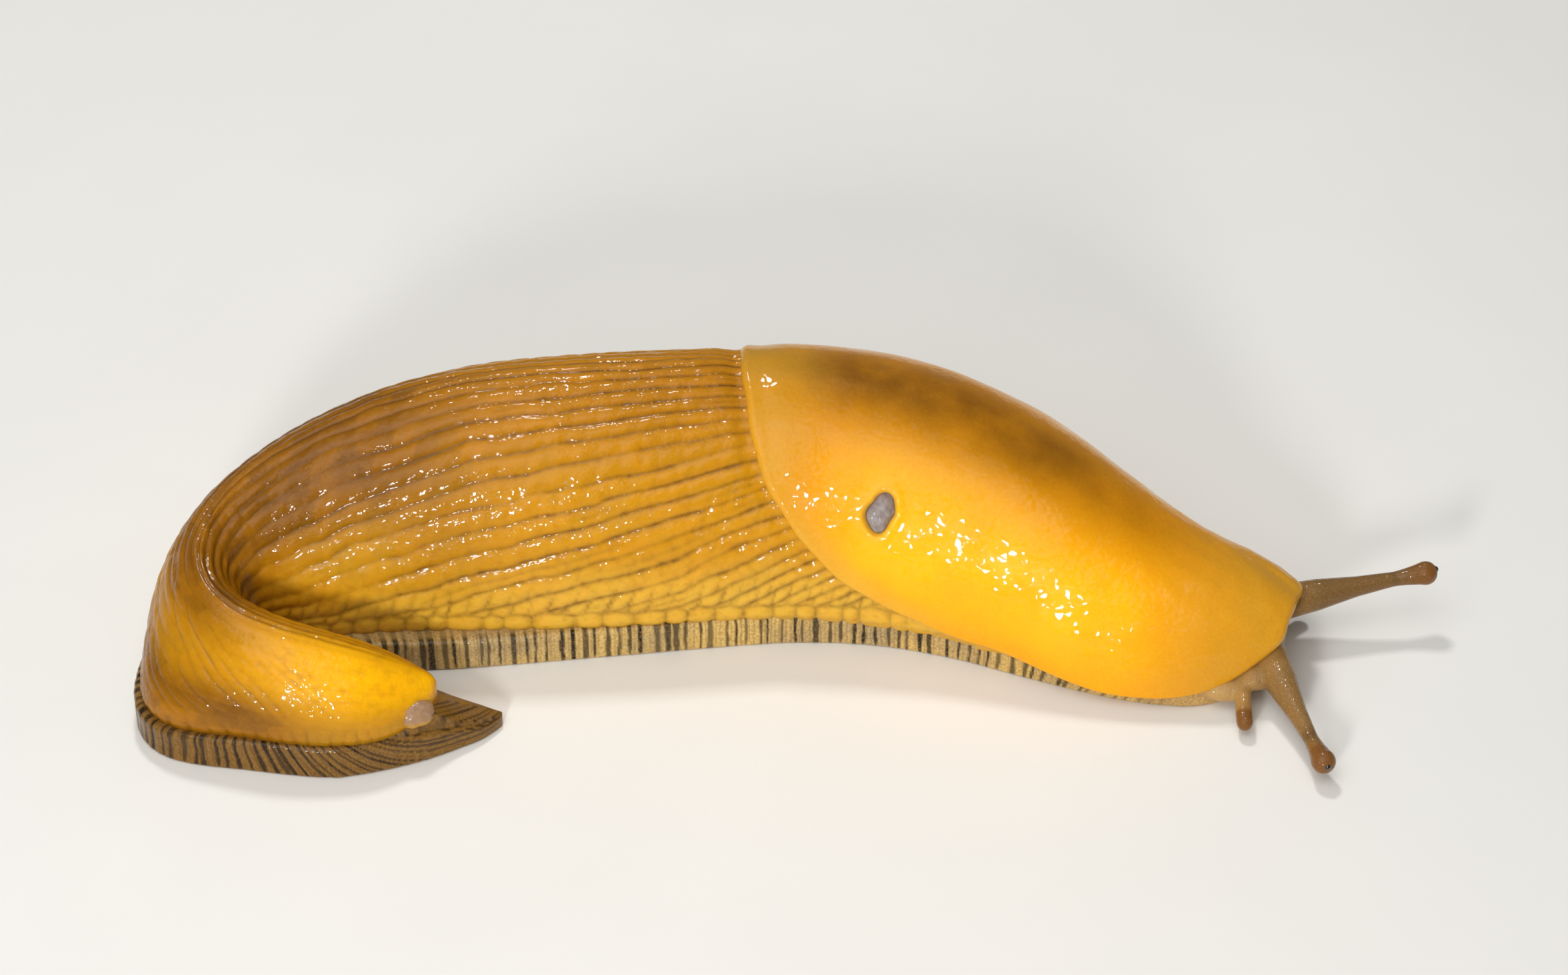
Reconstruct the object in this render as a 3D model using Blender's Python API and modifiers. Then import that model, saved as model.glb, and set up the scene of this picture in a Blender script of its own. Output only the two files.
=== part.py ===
"""Banana slug at rest, life size, with its tail folded round beside its body.

The body is a soft dome that follows a midline over the ground. A point on it is told by how far
behind the nose it lies and by how far round the back it lies, from -1 at the right flank's foot
over 0 on the crest to 1 at the left flank's foot. Lengths are millimetres until a mesh is made.
"""

import math

import bmesh
import bpy
import numpy as np
from mathutils import Matrix, Vector

MM = 0.001
CLEARANCE = 0.3

# The midline: its start, and its course in degrees from +X at distances behind the nose
NOSE_X = 46.8
NOSE_Y = -6.5
COURSE_AT = (0, 12, 25, 40, 58, 76, 90, 100, 108, 116, 126, 140)
COURSE = (158, 157, 153, 167, 185.5, 187, 195.5, 213, 252, 314, 356.5, 370.5)
MIDLINE_STEP = 0.25

# The body's measurements at distances behind the nose
BODY_AT = (0, 8, 20, 36, 54, 72, 88, 101, 114, 126, 135)
HALF_RIGHT = (5.8, 8.5, 11.8, 13.8, 14.2, 13.8, 11.8, 9.2, 7.3, 6.4, 5.0)
HALF_LEFT = (7.8, 7.6, 9.8, 13.3, 13.1, 13.2, 12.0, 8.2, 5.5, 5.9, 4.8)
BACK_HEIGHT = (9.6, 11.3, 16.5, 21.8, 23.8, 24.3, 22.8, 18.9, 14.7, 11.9, 8.6)
FRINGE_HEIGHT = (2.2, 2.4, 2.6, 3.0, 3.2, 3.3, 3.4, 3.4, 3.4, 3.4, 3.2)
CREST = (0, 0, 0, 0, 0.02, 0.05, 0.12, 0.2, 0.28, 0.3, 0.25)
FOOT_RIGHT = (4.8, 8.6, 10.6, 11.7, 12.7, 13.0, 12.4, 9.6, 8.3, 7.5, 5.7)
FOOT_LEFT = (4.5, 7.0, 9.6, 11.5, 12.4, 11.5, 10.0, 6.4, 6.0, 5.9, 6.3)
BODY_END = 136.5
FOOT_END = 143.6
FOOT_FRONT = 1.0
FOOT_FRONT_ROUND = 7.0
FOOT_TAIL_TAPER = 16.0
FOOT_TIP_SHARE = 0.24
NOSE_ROUND = 9.0
TAIL_ROUND = 8.0
END_HEIGHT_SHARE = 0.35
FLANK_TUCK = 0.10
TAIL_WEDGE = 1.0
WEDGE_AT = (128, 136, 138, 145)
TIP_FROM = 134.0
# The left flank spreads out on the ground at the outside of the bend
FLARE = 2.9
FLARE_AT = 115.5
FLARE_SPREAD = 3.6
FLARE_ROUND = 0.35

# Lengths that the body is divided into
HEAD_REAR = 9.0
FOOT_FRONT_REAR = 39.7
FORE_BODY_REAR = 57.5
TRUNK_REAR = 98.0
BEND_REAR = 121.0
RING_STEP = 2.0
BEND_RING_STEP = 1.5

# Furrows along the back, and the pleats of the foot's fringe
FURROWS = 22
FURROW_DEPTH = 0.35
FURROWS_AT = (30, 46, 126, 134)
PLEAT = 0.12

# The foot's edge from the sole up and in, as shares of its half width and of its height
FOOT_PROFILE = ((0.97, 0.0), (1.0, 0.12), (1.0, 0.55), (0.985, 0.85), (0.94, 1.0), (0.5, 1.0))

# The mantle, an oval shield whose edge reaches the foot's fringe in front
MANTLE_CENTRE = 27.0
MANTLE_REAR = 54.8
MANTLE_FRONT = 1.2
RIM_POINTS = 72
MANTLE_SHARES = (0, 0.17, 0.32, 0.46, 0.59, 0.71, 0.81, 0.89, 0.945, 0.98, 1.0)
MANTLE_TOP = (0.35, 0.35, 0.35, 0.35, 0.35, 0.35, 0.35, 0.35, 0.33, 0.2, -0.1)
MANTLE_UNDER = (-1.6, -1.6, -1.6, -1.6, -1.6, -1.6, -1.6, -1.55, -1.4, -1.15, -0.75)
# How far its edge reaches ahead, out and down over the head and the fringe, and the arch over
# the left tentacle
SKIRT_AHEAD = 0.9
SKIRT_CORNER = 0.7
SKIRT_OUT = 1.3
SKIRT_DOWN = 1.6
SKIRT_ARCH = 0.5
SKIRT_REAR = 26.0
CORNER_ROUND = 0.52

# The lung's opening, on the right of the mantle
LUNG_AT = 39.3
LUNG_ROUND = -0.57
LUNG_HALF_LONG = 1.25
LUNG_HALF_HIGH = 2.05
LINING_TOP = -0.7
LINING_FLOOR = -1.5

# Head under the mantle's front. Every point of the head and the tentacles is given as
# ahead of the nose, to the slug's left of it, and above the ground
SKULL = ((-6.3, 0.1, 4.0), (5.0, 6.2, 3.3))
SNOUT = ((-3.1, -0.1, 3.0), (2.1, 3.4, 1.9))
LIP = ((-5.2, 6.4, 1.9), (2.5, 1.7, 1.2))
CHEEK_RADIUS = 1.9
HEAD_GRAIN = 0.55
MOUTH = ((-0.9, -0.1, 2.1), (1.9, 2.2, 0.3))
CHIN_DROP = 1.1
CHIN_REAR = 7.0

# The tentacles, from the root in the head to the middle of the round end
UPPER_ROOT_RIGHT = (-2.45, -1.8, 3.9)
UPPER_TIP_RIGHT = (6.6, -13.5, 2.3)
UPPER_ROOT_LEFT = (-3.6, 4.1, 4.1)
UPPER_TIP_LEFT = (9.2, 11.6, 6.2)
UPPER_AT = (0, 0.3, 0.56, 0.80, 0.88, 1.0)
UPPER_RADII = (1.6, 1.45, 0.95, 0.68, 0.8, 1.1)
KNOB_RADIUS = 1.16
EYE_RADIUS = 0.3
EYE_LIFT = 0.25
EYE_CLEARANCE = 0.15
LOWER_ROOT_RIGHT = (-3.8, -4.5, 2.5)
LOWER_TIP_RIGHT = (-1.7, -10.1, 1.5)
LOWER_ROOT_LEFT = (-4.0, 4.3, 2.7)
LOWER_TIP_LEFT = (-1.8, 7.6, 1.7)
LOWER_RADIUS = 0.83

# The slime gland under the blunt end of the tail
GLAND_AT = 134.4
GLAND_ROUND = 0.76
GLAND_LIFT = -0.35
GLAND_SIZE = (1.8, 1.2, 1.1)

YELLOW = (0.78, 0.46, 0.02)
MANTLE_YELLOW = (0.90, 0.56, 0.01)
FRINGE_TAN = (0.34, 0.22, 0.07)
TENTACLE_BROWN = (0.32, 0.20, 0.08)
LINING_GREY = (0.42, 0.37, 0.34)
GLAND_PINK = (0.55, 0.37, 0.30)
EYE_BLACK = (0.01, 0.01, 0.01)


def spline(x, at, values):
    """A natural cubic spline through a few measured values."""
    at = np.asarray(at, float)
    values = np.asarray(values, float)
    count = len(at)
    width = np.diff(at)
    slope = np.diff(values) / width
    system = np.eye(count)
    slopes = np.zeros(count)
    for i in range(1, count - 1):
        system[i, i - 1 : i + 2] = width[i - 1], 2 * (width[i - 1] + width[i]), width[i]
        slopes[i] = 6 * (slope[i] - slope[i - 1])
    second = np.linalg.solve(system, slopes)
    x = np.clip(x, at[0], at[-1])
    i = np.clip(np.searchsorted(at, x) - 1, 0, count - 2)
    span = width[i]
    before = x - at[i]
    after = at[i + 1] - x
    curved = (second[i] * after**3 + second[i + 1] * before**3) / (6 * span)
    straight = (values[i] / span - second[i] * span / 6) * after
    return curved + straight + (values[i + 1] / span - second[i + 1] * span / 6) * before


def smooth(x):
    """A soft step from 0 to 1."""
    x = np.clip(x, 0, 1)
    return x * x * (3 - 2 * x)


def between(s, start, full, falling, end):
    """A soft rise from 0 to 1 and back to 0 at four distances behind the nose."""
    return smooth((s - start) / (full - start)) * (1 - smooth((s - falling) / (end - falling)))


def trace_midline():
    """Distances behind the nose, and the course, place and curvature of the midline there."""
    at = np.arange(0, FOOT_END + 2 * MIDLINE_STEP, MIDLINE_STEP)
    course = np.radians(spline(at, COURSE_AT, COURSE))
    middle = (course[1:] + course[:-1]) / 2
    x = NOSE_X + np.concatenate([[0], np.cumsum(np.cos(middle) * MIDLINE_STEP)])
    y = NOSE_Y + np.concatenate([[0], np.cumsum(np.sin(middle) * MIDLINE_STEP)])
    return at, course, x, y, np.gradient(course, at)


MIDLINE = trace_midline()


def across(s, offset):
    """Ground position at an offset from the midline, positive to the slug's left."""
    at, course, x, y, _ = MIDLINE
    heading = np.interp(s, at, course) - math.pi / 2
    return np.interp(s, at, x) + np.cos(heading) * offset, np.interp(s, at, y) + np.sin(heading) * offset


def crowded(s, half, share):
    """A half width on the inner side of the fold, kept short of the fold's own centre."""
    curvature = np.interp(s, MIDLINE[0], MIDLINE[4])
    room = share / np.maximum(curvature, 0.001)
    return half * (1 + (half / room) ** 6) ** (-1 / 6)


def flare(s):
    """How far the flank spreads at the outside of the bend."""
    return FLARE * np.exp(-(((s - FLARE_AT) / FLARE_SPREAD) ** 2))


def foot_half(s, side):
    """Half width of the foot, side -1 for the right and 1 for the left."""
    half = spline(s, BODY_AT, FOOT_LEFT) + 0.9 * flare(s)
    if side < 0:
        half = crowded(s, spline(s, BODY_AT, FOOT_RIGHT), 0.8)
    behind = np.clip((s - FOOT_FRONT) / FOOT_FRONT_ROUND, 0, 1)
    front = np.sqrt(1 - (1 - behind) ** 2)
    rear = np.clip((FOOT_END - s) / FOOT_TAIL_TAPER, 0, 1) ** 0.7
    return half * front * rear


def foot_top(s, offset):
    """Height of the foot's upper face, a low wedge at the tail and flat elsewhere."""
    half = np.maximum(np.where(offset < 0, foot_half(s, -1), foot_half(s, 1)), 0.01)
    wedge = TAIL_WEDGE * between(s, *WEDGE_AT)
    tip = 1 - (1 - FOOT_TIP_SHARE) * smooth((s - TIP_FROM) / (FOOT_END + 1 - TIP_FROM))
    return spline(s, BODY_AT, FRINGE_HEIGHT) * tip + wedge * np.clip(1 - (offset / half) ** 2, 0, 1)


def stations(front, rear, step):
    """Distances behind the nose, closer together where the foot's edge rounds an end or a bend."""
    fine = np.linspace(front, rear, 800)
    run = np.diff(fine)
    for side in (-1, 1):
        x, y = across(fine, side * foot_half(fine, side))
        run = np.maximum(run, np.hypot(np.diff(x), np.diff(y)))
    length = np.concatenate([[0], np.cumsum(run)])
    return np.interp(np.linspace(0, length[-1], max(3, round(length[-1] / step) + 1)), length, fine)


def furrow(s, t):
    """Depth of the lengthwise furrows, which run back from the mantle and fade on the tail."""
    wave = 0.5 - 0.5 * np.cos(2 * math.pi * (t + 1) / 2 * FURROWS)
    smoother_tail = 1 - 0.6 * smooth((s - 108) / 10) * smooth(t / 0.4)
    return FURROW_DEPTH * wave * between(s, *FURROWS_AT) * smoother_tail


def body_point(s, t):
    """A point of the smooth dome of the body."""
    s, t = np.broadcast_arrays(np.asarray(s, float), np.asarray(t, float))
    nose = np.sqrt(1 - np.clip(1 - s / NOSE_ROUND, 0, 1) ** 2)
    tail = np.sqrt(1 - np.clip(1 - (BODY_END - s) / TAIL_ROUND, 0, 1) ** 2)
    end = nose * tail
    angle = np.abs(t) * math.pi / 2
    crest = spline(s, BODY_AT, CREST)
    sideways = np.sin(angle) * (1 - FLANK_TUCK * np.abs(t) ** 6)
    upward = (1 - crest) * np.cos(angle) + crest * (1 - np.sin(angle) ** 1.4)
    right = crowded(s, spline(s, BODY_AT, HALF_RIGHT), 0.72)
    left = spline(s, BODY_AT, HALF_LEFT)
    spread = flare(s) * smooth((t - FLARE_ROUND) / (1 - FLARE_ROUND))
    offset = np.where(t < 0, -right * sideways, left * sideways + spread) * end
    floor = foot_top(s, offset) + CLEARANCE
    share = END_HEIGHT_SHARE + (1 - END_HEIGHT_SHARE) * end
    x, y = across(s, offset)
    return np.stack([x, y, floor + (spline(s, BODY_AT, BACK_HEIGHT) - floor) * upward * share], -1)


def body_normal(s, t):
    """The outward direction of the smooth dome."""
    ds, dt = 0.05, 0.002
    along = body_point(s + ds, t) - body_point(s - ds, t)
    round_back = body_point(s, np.minimum(t + dt, 1)) - body_point(s, np.maximum(t - dt, -1))
    normal = np.cross(round_back, along)
    return normal / np.linalg.norm(normal, axis=-1, keepdims=True)


def raised(s, t, lift):
    """A point at a height above the dome, or below it where the lift is negative."""
    return body_point(s, t) + body_normal(s, t) * np.asarray(lift, float)[..., None]


def new_collection(name, hidden):
    collection = bpy.data.collections.new(name)
    bpy.context.scene.collection.children.link(collection)
    collection.hide_render = hidden
    return collection


def new_object(name, mesh, collection):
    obj = bpy.data.objects.new(name, mesh)
    collection.objects.link(obj)
    if collection.hide_render:
        obj.hide_render = True
        obj.display_type = "WIRE"
    return obj


def mesh_from(name, points, faces):
    """A mesh from points in millimetres, with its faces turned outwards."""
    mesh = bpy.data.meshes.new(name)
    mesh.from_pydata((np.asarray(points) * MM).tolist(), [], faces)
    shape = bmesh.new()
    shape.from_mesh(mesh)
    bmesh.ops.recalc_face_normals(shape, faces=shape.faces)
    if shape.calc_volume(signed=True) < 0:
        bmesh.ops.reverse_faces(shape, faces=shape.faces)
    shape.to_mesh(mesh)
    shape.free()
    return mesh


def loft(name, rings, collection):
    """A closed solid through rings of equal point count, capped at both ends."""
    count, around = rings.shape[:2]
    faces = [list(range(around)), list(range((count - 1) * around, count * around))]
    for i in range(count - 1):
        for j in range(around):
            k = (j + 1) % around
            faces.append([i * around + j, i * around + k, (i + 1) * around + k, (i + 1) * around + j])
    return new_object(name, mesh_from(name, rings.reshape(-1, 3), faces), collection)


def shield(name, outer, inner, collection):
    """A closed cap between two polar grids, each a centre point and rings out to one rim."""
    rings, around = outer.shape[0] - 1, outer.shape[1]
    points = []
    starts = []
    for grid in (outer, inner):
        starts.append(len(points))
        points.append(grid[0, 0])
        points.extend(grid[1:].reshape(-1, 3))
    faces = []
    for start in starts:
        first = start + 1
        for j in range(around):
            k = (j + 1) % around
            faces.append([start, first + j, first + k])
            for i in range(rings - 1):
                a = first + i * around
                faces.append([a + j, a + around + j, a + around + k, a + k])
    last = 1 + (rings - 1) * around
    for j in range(around):
        k = (j + 1) % around
        outer_rim, inner_rim = starts[0] + last, starts[1] + last
        faces.append([outer_rim + j, inner_rim + j, inner_rim + k, outer_rim + k])
    return new_object(name, mesh_from(name, points, faces), collection)


def ellipsoid(name, centre, radii, heading, collection, segments=20):
    """An ellipsoid in millimetres, turned about the vertical."""
    mesh = bpy.data.meshes.new(name)
    shape = bmesh.new()
    bmesh.ops.create_uvsphere(shape, u_segments=segments, v_segments=segments // 2 + 2, radius=1)
    place = Matrix.Translation(Vector(centre) * MM) @ Matrix.Rotation(heading, 4, "Z")
    shape.transform(place @ Matrix.Diagonal((radii[0] * MM, radii[1] * MM, radii[2] * MM, 1)))
    shape.to_mesh(mesh)
    shape.free()
    return new_object(name, mesh, collection)


def settle(obj):
    """Applies the modifiers, and keeps the largest closed surface of what they leave."""
    graph = bpy.context.evaluated_depsgraph_get()
    mesh = bpy.data.meshes.new_from_object(obj.evaluated_get(graph))
    obj.modifiers.clear()
    obj.data = mesh
    shape = bmesh.new()
    shape.from_mesh(mesh)
    shape.faces.ensure_lookup_table()
    left = set(shape.faces)
    pieces = []
    while left:
        piece = set()
        edge_of_piece = [left.pop()]
        while edge_of_piece:
            face = edge_of_piece.pop()
            piece.add(face)
            for edge in face.edges:
                for neighbour in edge.link_faces:
                    if neighbour in left:
                        left.remove(neighbour)
                        edge_of_piece.append(neighbour)
        pieces.append(piece)
    largest = max(pieces, key=lambda piece: sum(face.calc_area() for face in piece))
    bmesh.ops.delete(shape, geom=[face for face in shape.faces if face not in largest], context="FACES")
    shape.to_mesh(mesh)
    shape.free()
    return obj


def boolean(obj, operation, other):
    """Joins or cuts an object with another object or with a whole collection."""
    modifier = obj.modifiers.new(operation.title(), "BOOLEAN")
    modifier.operation = operation
    modifier.solver = "EXACT"
    if isinstance(other, bpy.types.Collection):
        modifier.operand_type = "COLLECTION"
        modifier.collection = other
    else:
        modifier.object = other
    return settle(obj)


def finish(obj, colour, roughness):
    """Gives a node its own material and smooth shading."""
    material = bpy.data.materials.new(obj.name)
    material.use_nodes = True
    shader = material.node_tree.nodes["Principled BSDF"]
    shader.inputs["Base Color"].default_value = (*colour, 1)
    shader.inputs["Roughness"].default_value = roughness
    shader.inputs["Metallic"].default_value = 0
    obj.data.materials.clear()
    obj.data.materials.append(material)
    obj.data.shade_smooth()
    obj.data.set_sharp_from_angle(angle=math.radians(50))
    return obj


def body_length(name, front, rear, step, collection):
    """One length of the body, furrowed on top and open-sided to its neighbours."""
    s = np.linspace(front, rear, max(2, round((rear - front) / step) + 1))[:, None]
    t = np.linspace(-1, 1, 2 * FURROWS + 1)[None, :]
    top = raised(s, t, -furrow(s, t))
    ends = np.linspace(1, -1, 6)[1:-1]
    left_edge = body_point(s, 1.0)
    right_edge = body_point(s, -1.0)
    share = (1 + ends[None, :, None]) / 2
    under = left_edge * share + right_edge * (1 - share)
    middle = np.stack(across(s, 0.0), -1)
    offset = np.linalg.norm(under[..., :2] - middle, axis=-1)
    under[..., 2] = foot_top(s, offset) + CLEARANCE
    return loft(name, np.concatenate([top, under], axis=1), collection)


def foot_length(name, front, rear, collection, spare=0.0):
    """One length of the foot, with a flat sole and a pleated fringe along both edges."""
    s = stations(front, rear, RING_STEP)
    pleat = PLEAT * (np.arange(len(s)) % 2 * 2 - 1)
    chin = CHIN_DROP * (1 - smooth(s / CHIN_REAR))
    rings = []
    for side in (-1, 1):
        half = foot_half(s, side)
        points = []
        for share, height in FOOT_PROFILE:
            ruffle = pleat * (0 < height < 1) * np.clip(half / 3, 0, 1)
            offset = side * (half * share + ruffle + spare)
            x, y = across(s, offset)
            z = (foot_top(s, side * half * share) - chin) * height + (spare if height else -spare)
            points.append(np.stack([x, y, z], -1))
        rings.append(points)
    x, y = across(s, np.zeros(len(s)))
    ridge = np.stack([x, y, foot_top(s, np.zeros(len(s))) - chin + spare], -1)
    ring = rings[0] + [ridge] + rings[1][::-1]
    return loft(name, np.stack(ring, axis=1), collection)


def mantle_rim():
    """The mantle's edge as (distance behind the nose, place round the back), closest in front."""
    angle = np.linspace(0, math.pi / 2, 400)
    rear_s = MANTLE_CENTRE + (MANTLE_REAR - MANTLE_CENTRE) * np.cos(angle) ** (2 / 1.4)
    rear_t = np.sin(angle) ** (2 / 3.7)
    front_s = MANTLE_CENTRE - (MANTLE_CENTRE - MANTLE_FRONT) * np.sin(angle) ** (2 / 9)
    front_t = np.cos(angle)
    s = np.concatenate([rear_s, front_s[1:]])
    t = -np.concatenate([rear_t, front_t[1:]])
    step = np.linalg.norm(np.diff(body_point(s, t), axis=0), axis=1)
    step *= 1 + 1.6 * np.exp(-((s[1:] / 6) ** 2))
    length = np.concatenate([[0], np.cumsum(step)])
    even = np.linspace(0, length[-1], RIM_POINTS // 2 + 1)
    s = np.interp(even, length, s)
    t = np.interp(even, length, t)
    return np.concatenate([s, s[-2:0:-1]]), np.concatenate([t, -t[-2:0:-1]])


def skirt(s, t):
    """How the mantle's edge hangs clear of the dome, over the head and the front of the fringe."""
    front = 1 - smooth(2 * s / SKIRT_REAR - 1)
    corner = np.exp(-(((np.abs(t) - CORNER_ROUND) / 0.2) ** 2)) * (1 - smooth((s - 3) / 7))
    ahead = SKIRT_AHEAD * (1 - smooth((s - 2) / 8)) * (1 + SKIRT_CORNER * corner)
    out = SKIRT_OUT * smooth((s - 2) / 9) * front * np.sign(t)
    down = SKIRT_DOWN * np.abs(t) ** 1.5 * front
    down = np.where(t > 0, down * smooth((s - 3) / 7) - SKIRT_ARCH * corner, down)
    course = np.interp(s, MIDLINE[0], MIDLINE[1])
    x = -np.cos(course) * ahead + np.sin(course) * out
    y = -np.sin(course) * ahead - np.cos(course) * out
    return np.stack([x, y, -down], -1)


def mantle_rings(shares, lifts):
    """Rings of the mantle at shares of the way out to its rim, each at its own lift."""
    rim_s, rim_t = mantle_rim()
    hang = skirt(rim_s, rim_t)
    rings = []
    for share, lift in zip(shares, lifts):
        s = MANTLE_CENTRE + share * (rim_s - MANTLE_CENTRE)
        ring = raised(s, share * rim_t, np.full(len(rim_s), lift))
        rings.append(ring + hang * smooth((share - 0.6) / 0.4))
    return np.array(rings)


def mantle_shell(collection):
    """The mantle itself, a shell with a thin rounded rim."""
    outer = mantle_rings(MANTLE_SHARES, MANTLE_TOP)
    return shield("mantle", outer, mantle_rings(MANTLE_SHARES, MANTLE_UNDER), collection)


def mantle_cutter(name, above, reach_down, collection):
    """The mantle with its clearance, as a solid that cuts whatever lies under it."""
    rim_s, rim_t = mantle_rim()
    inner = mantle_rings(MANTLE_SHARES, np.array(MANTLE_UNDER) - CLEARANCE)
    outer = mantle_rings(MANTLE_SHARES, [above] * len(MANTLE_SHARES))
    rim = body_point(rim_s, rim_t) + skirt(rim_s, rim_t)
    run = np.roll(rim, -1, axis=0) - np.roll(rim, 1, axis=0)
    normal = body_normal(rim_s, rim_t)
    outward = np.cross(run, normal)
    outward /= np.linalg.norm(outward, axis=1, keepdims=True)
    if (outward * (rim - rim.mean(axis=0))).sum() < 0:
        outward = -outward
    hangs = smooth((np.abs(rim_t) - 0.9) / 0.08) * smooth((34 - rim_s) / 8)
    reach = (CLEARANCE + 0.05 + reach_down * hangs)[:, None]
    inner = np.concatenate([inner, [inner[-1] + outward * reach, rim - normal * 0.3 + outward * reach]])
    outer = np.concatenate([outer, [outer[-1] + outward * reach, outer[-1] + outward * reach * 1.2]])
    return shield(name, outer, inner, collection)


def tube(name, root, tip, radius_at, end_radius, collection, droop):
    """A tapering stalk with a round end, its middle sagging by a droop."""
    root = np.array(root)
    tip = np.array(tip)
    length = np.linalg.norm(tip - root)
    along = (tip - root) / length
    stalk = np.linspace(0, length - end_radius, 10)
    knob = length - end_radius * np.cos(np.linspace(0, math.pi, 9))[1:-1]
    steps = np.concatenate([stalk, knob, [length + end_radius * 0.99]])
    curve = bpy.data.curves.new(name, "CURVE")
    curve.dimensions = "3D"
    curve.bevel_depth = MM
    curve.bevel_resolution = 4
    curve.use_fill_caps = True
    line = curve.splines.new("POLY")
    line.points.add(len(steps) - 1)
    for point, step in zip(line.points, steps):
        share = step / length
        sag = droop * math.sin(math.pi * min(max(share, 0), 1))
        place = root + along * step - np.array([0, 0, sag])
        point.co = (*(place * MM), 1)
        ball = end_radius * math.sqrt(max(0.0, 1 - ((step - length) / end_radius) ** 2))
        stem = radius_at(share) if step <= length else 0.0
        point.radius = max(ball, stem, 0.12)
    curved = bpy.data.objects.new(name, curve)
    bpy.context.scene.collection.objects.link(curved)
    mesh = bpy.data.meshes.new_from_object(curved.evaluated_get(bpy.context.evaluated_depsgraph_get()))
    bpy.data.objects.remove(curved)
    shape = bmesh.new()
    shape.from_mesh(mesh)
    bmesh.ops.remove_doubles(shape, verts=shape.verts, dist=1e-6)
    bmesh.ops.recalc_face_normals(shape, faces=shape.faces)
    shape.to_mesh(mesh)
    shape.free()
    return new_object(name, mesh, collection)


def upper_radius(share):
    """Radius along an upper tentacle, a stalk that tapers fast and then swells to its knob."""
    return float(np.interp(share, UPPER_AT, UPPER_RADII))


def lower_radius(share):
    """Radius along a lower tentacle, a blunt peg."""
    return LOWER_RADIUS * (1.12 - 0.12 * float(smooth(share / 0.6)))


def eye_place(root, tip):
    """The eye sits at the knob's end, a little above the stalk's own line."""
    along = Vector(tip) - Vector(root)
    look = (along.normalized() + Vector((0, 0, EYE_LIFT))).normalized()
    return Vector(tip) + look * (KNOB_RADIUS - 0.12)


def head_place(ahead, left, height):
    """A point placed from the nose by the head's own directions."""
    heading = MIDLINE[1][0] + math.pi
    x = NOSE_X + ahead * math.cos(heading) - left * math.sin(heading)
    y = NOSE_Y + ahead * math.sin(heading) + left * math.cos(heading)
    return x, y, height


def head_form(name, spare, collection):
    """The head's smooth form of skull, snout, lips and cheeks, grown by a spare."""
    heading = MIDLINE[1][0] + math.pi
    lumps = [SKULL, SNOUT, LIP, ((LIP[0][0], -LIP[0][1], LIP[0][2]), LIP[1])]
    for root in (UPPER_ROOT_RIGHT, UPPER_ROOT_LEFT):
        lumps.append((root, (CHEEK_RADIUS,) * 3))
    whole = bmesh.new()
    for centre, radii in lumps:
        place = Matrix.Translation(Vector(head_place(*centre)) * MM) @ Matrix.Rotation(heading, 4, "Z")
        size = Matrix.Diagonal([(radius + spare) * MM for radius in radii] + [1])
        bmesh.ops.create_uvsphere(whole, u_segments=32, v_segments=18, radius=1, matrix=place @ size)
    mesh = bpy.data.meshes.new(name)
    whole.to_mesh(mesh)
    whole.free()
    head = new_object(name, mesh, collection)
    grain = head.modifiers.new("Blend the lumps", "REMESH")
    grain.mode = "VOXEL"
    grain.voxel_size = HEAD_GRAIN * MM
    soften = head.modifiers.new("Soften", "SMOOTH")
    soften.factor = 0.5
    soften.iterations = 6
    return settle(head)


def build_head(nodes, guides):
    """Head under the mantle's front, cut to what it meets, with the slit of the mouth."""
    head = head_form("head", 0.0, nodes)
    mouth = ellipsoid("mouth", head_place(*MOUTH[0]), MOUTH[1], MIDLINE[1][0] + math.pi, guides)
    boolean(head, "DIFFERENCE", mouth)
    boolean(head, "DIFFERENCE", mantle_cutter("under mantle", 4.0, 0.0, guides))
    boolean(head, "DIFFERENCE", foot_length("over foot", FOOT_FRONT + 0.05, 40, guides, spare=CLEARANCE))
    boolean(head, "DIFFERENCE", rear_block("behind head", HEAD_REAR, guides))
    return head


def rear_block(name, front, collection):
    """A block that fills all behind a distance from the nose."""
    corners = []
    for s, offset in ((front, -30), (front, 30), (front + 40, 30), (front + 40, -30)):
        x, y = across(np.array(s), offset)
        corners.append((float(x), float(y)))
    points = [(x, y, z) for z in (-5, 40) for x, y in corners]
    faces = [[0, 1, 2, 3], [4, 5, 6, 7], [0, 1, 5, 4], [1, 2, 6, 5], [2, 3, 7, 6], [3, 0, 4, 7]]
    return new_object(name, mesh_from(name, points, faces), collection)


def oval_plug(name, half_long, half_high, top, bottom, collection):
    """An oval plug across the mantle at the lung's opening, between two lifts."""
    s = np.array(LUNG_AT)
    t = np.array(LUNG_ROUND)
    centre = body_point(s, t)
    out = body_normal(s, t)
    up = body_point(s, t + 0.01) - body_point(s, t - 0.01)
    up /= np.linalg.norm(up)
    along = np.cross(up, out)
    angle = np.linspace(0, 2 * math.pi, 24, endpoint=False)[:, None]
    oval = along * np.cos(angle) * half_long + up * np.sin(angle) * half_high
    rings = [centre + oval * size + out * lift for size, lift in ((1, bottom), (1, top))]
    return loft(name, np.array(rings), collection)


def build_tentacle(name, root, tip, radius_at, end_radius, droop, nodes, cutters):
    """A tentacle, its root cut to meet the head and to pass under the mantle."""
    stalk = tube(name, root, tip, radius_at, end_radius, nodes, droop)
    for cutter in cutters:
        boolean(stalk, "DIFFERENCE", cutter)
    return stalk


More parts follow.
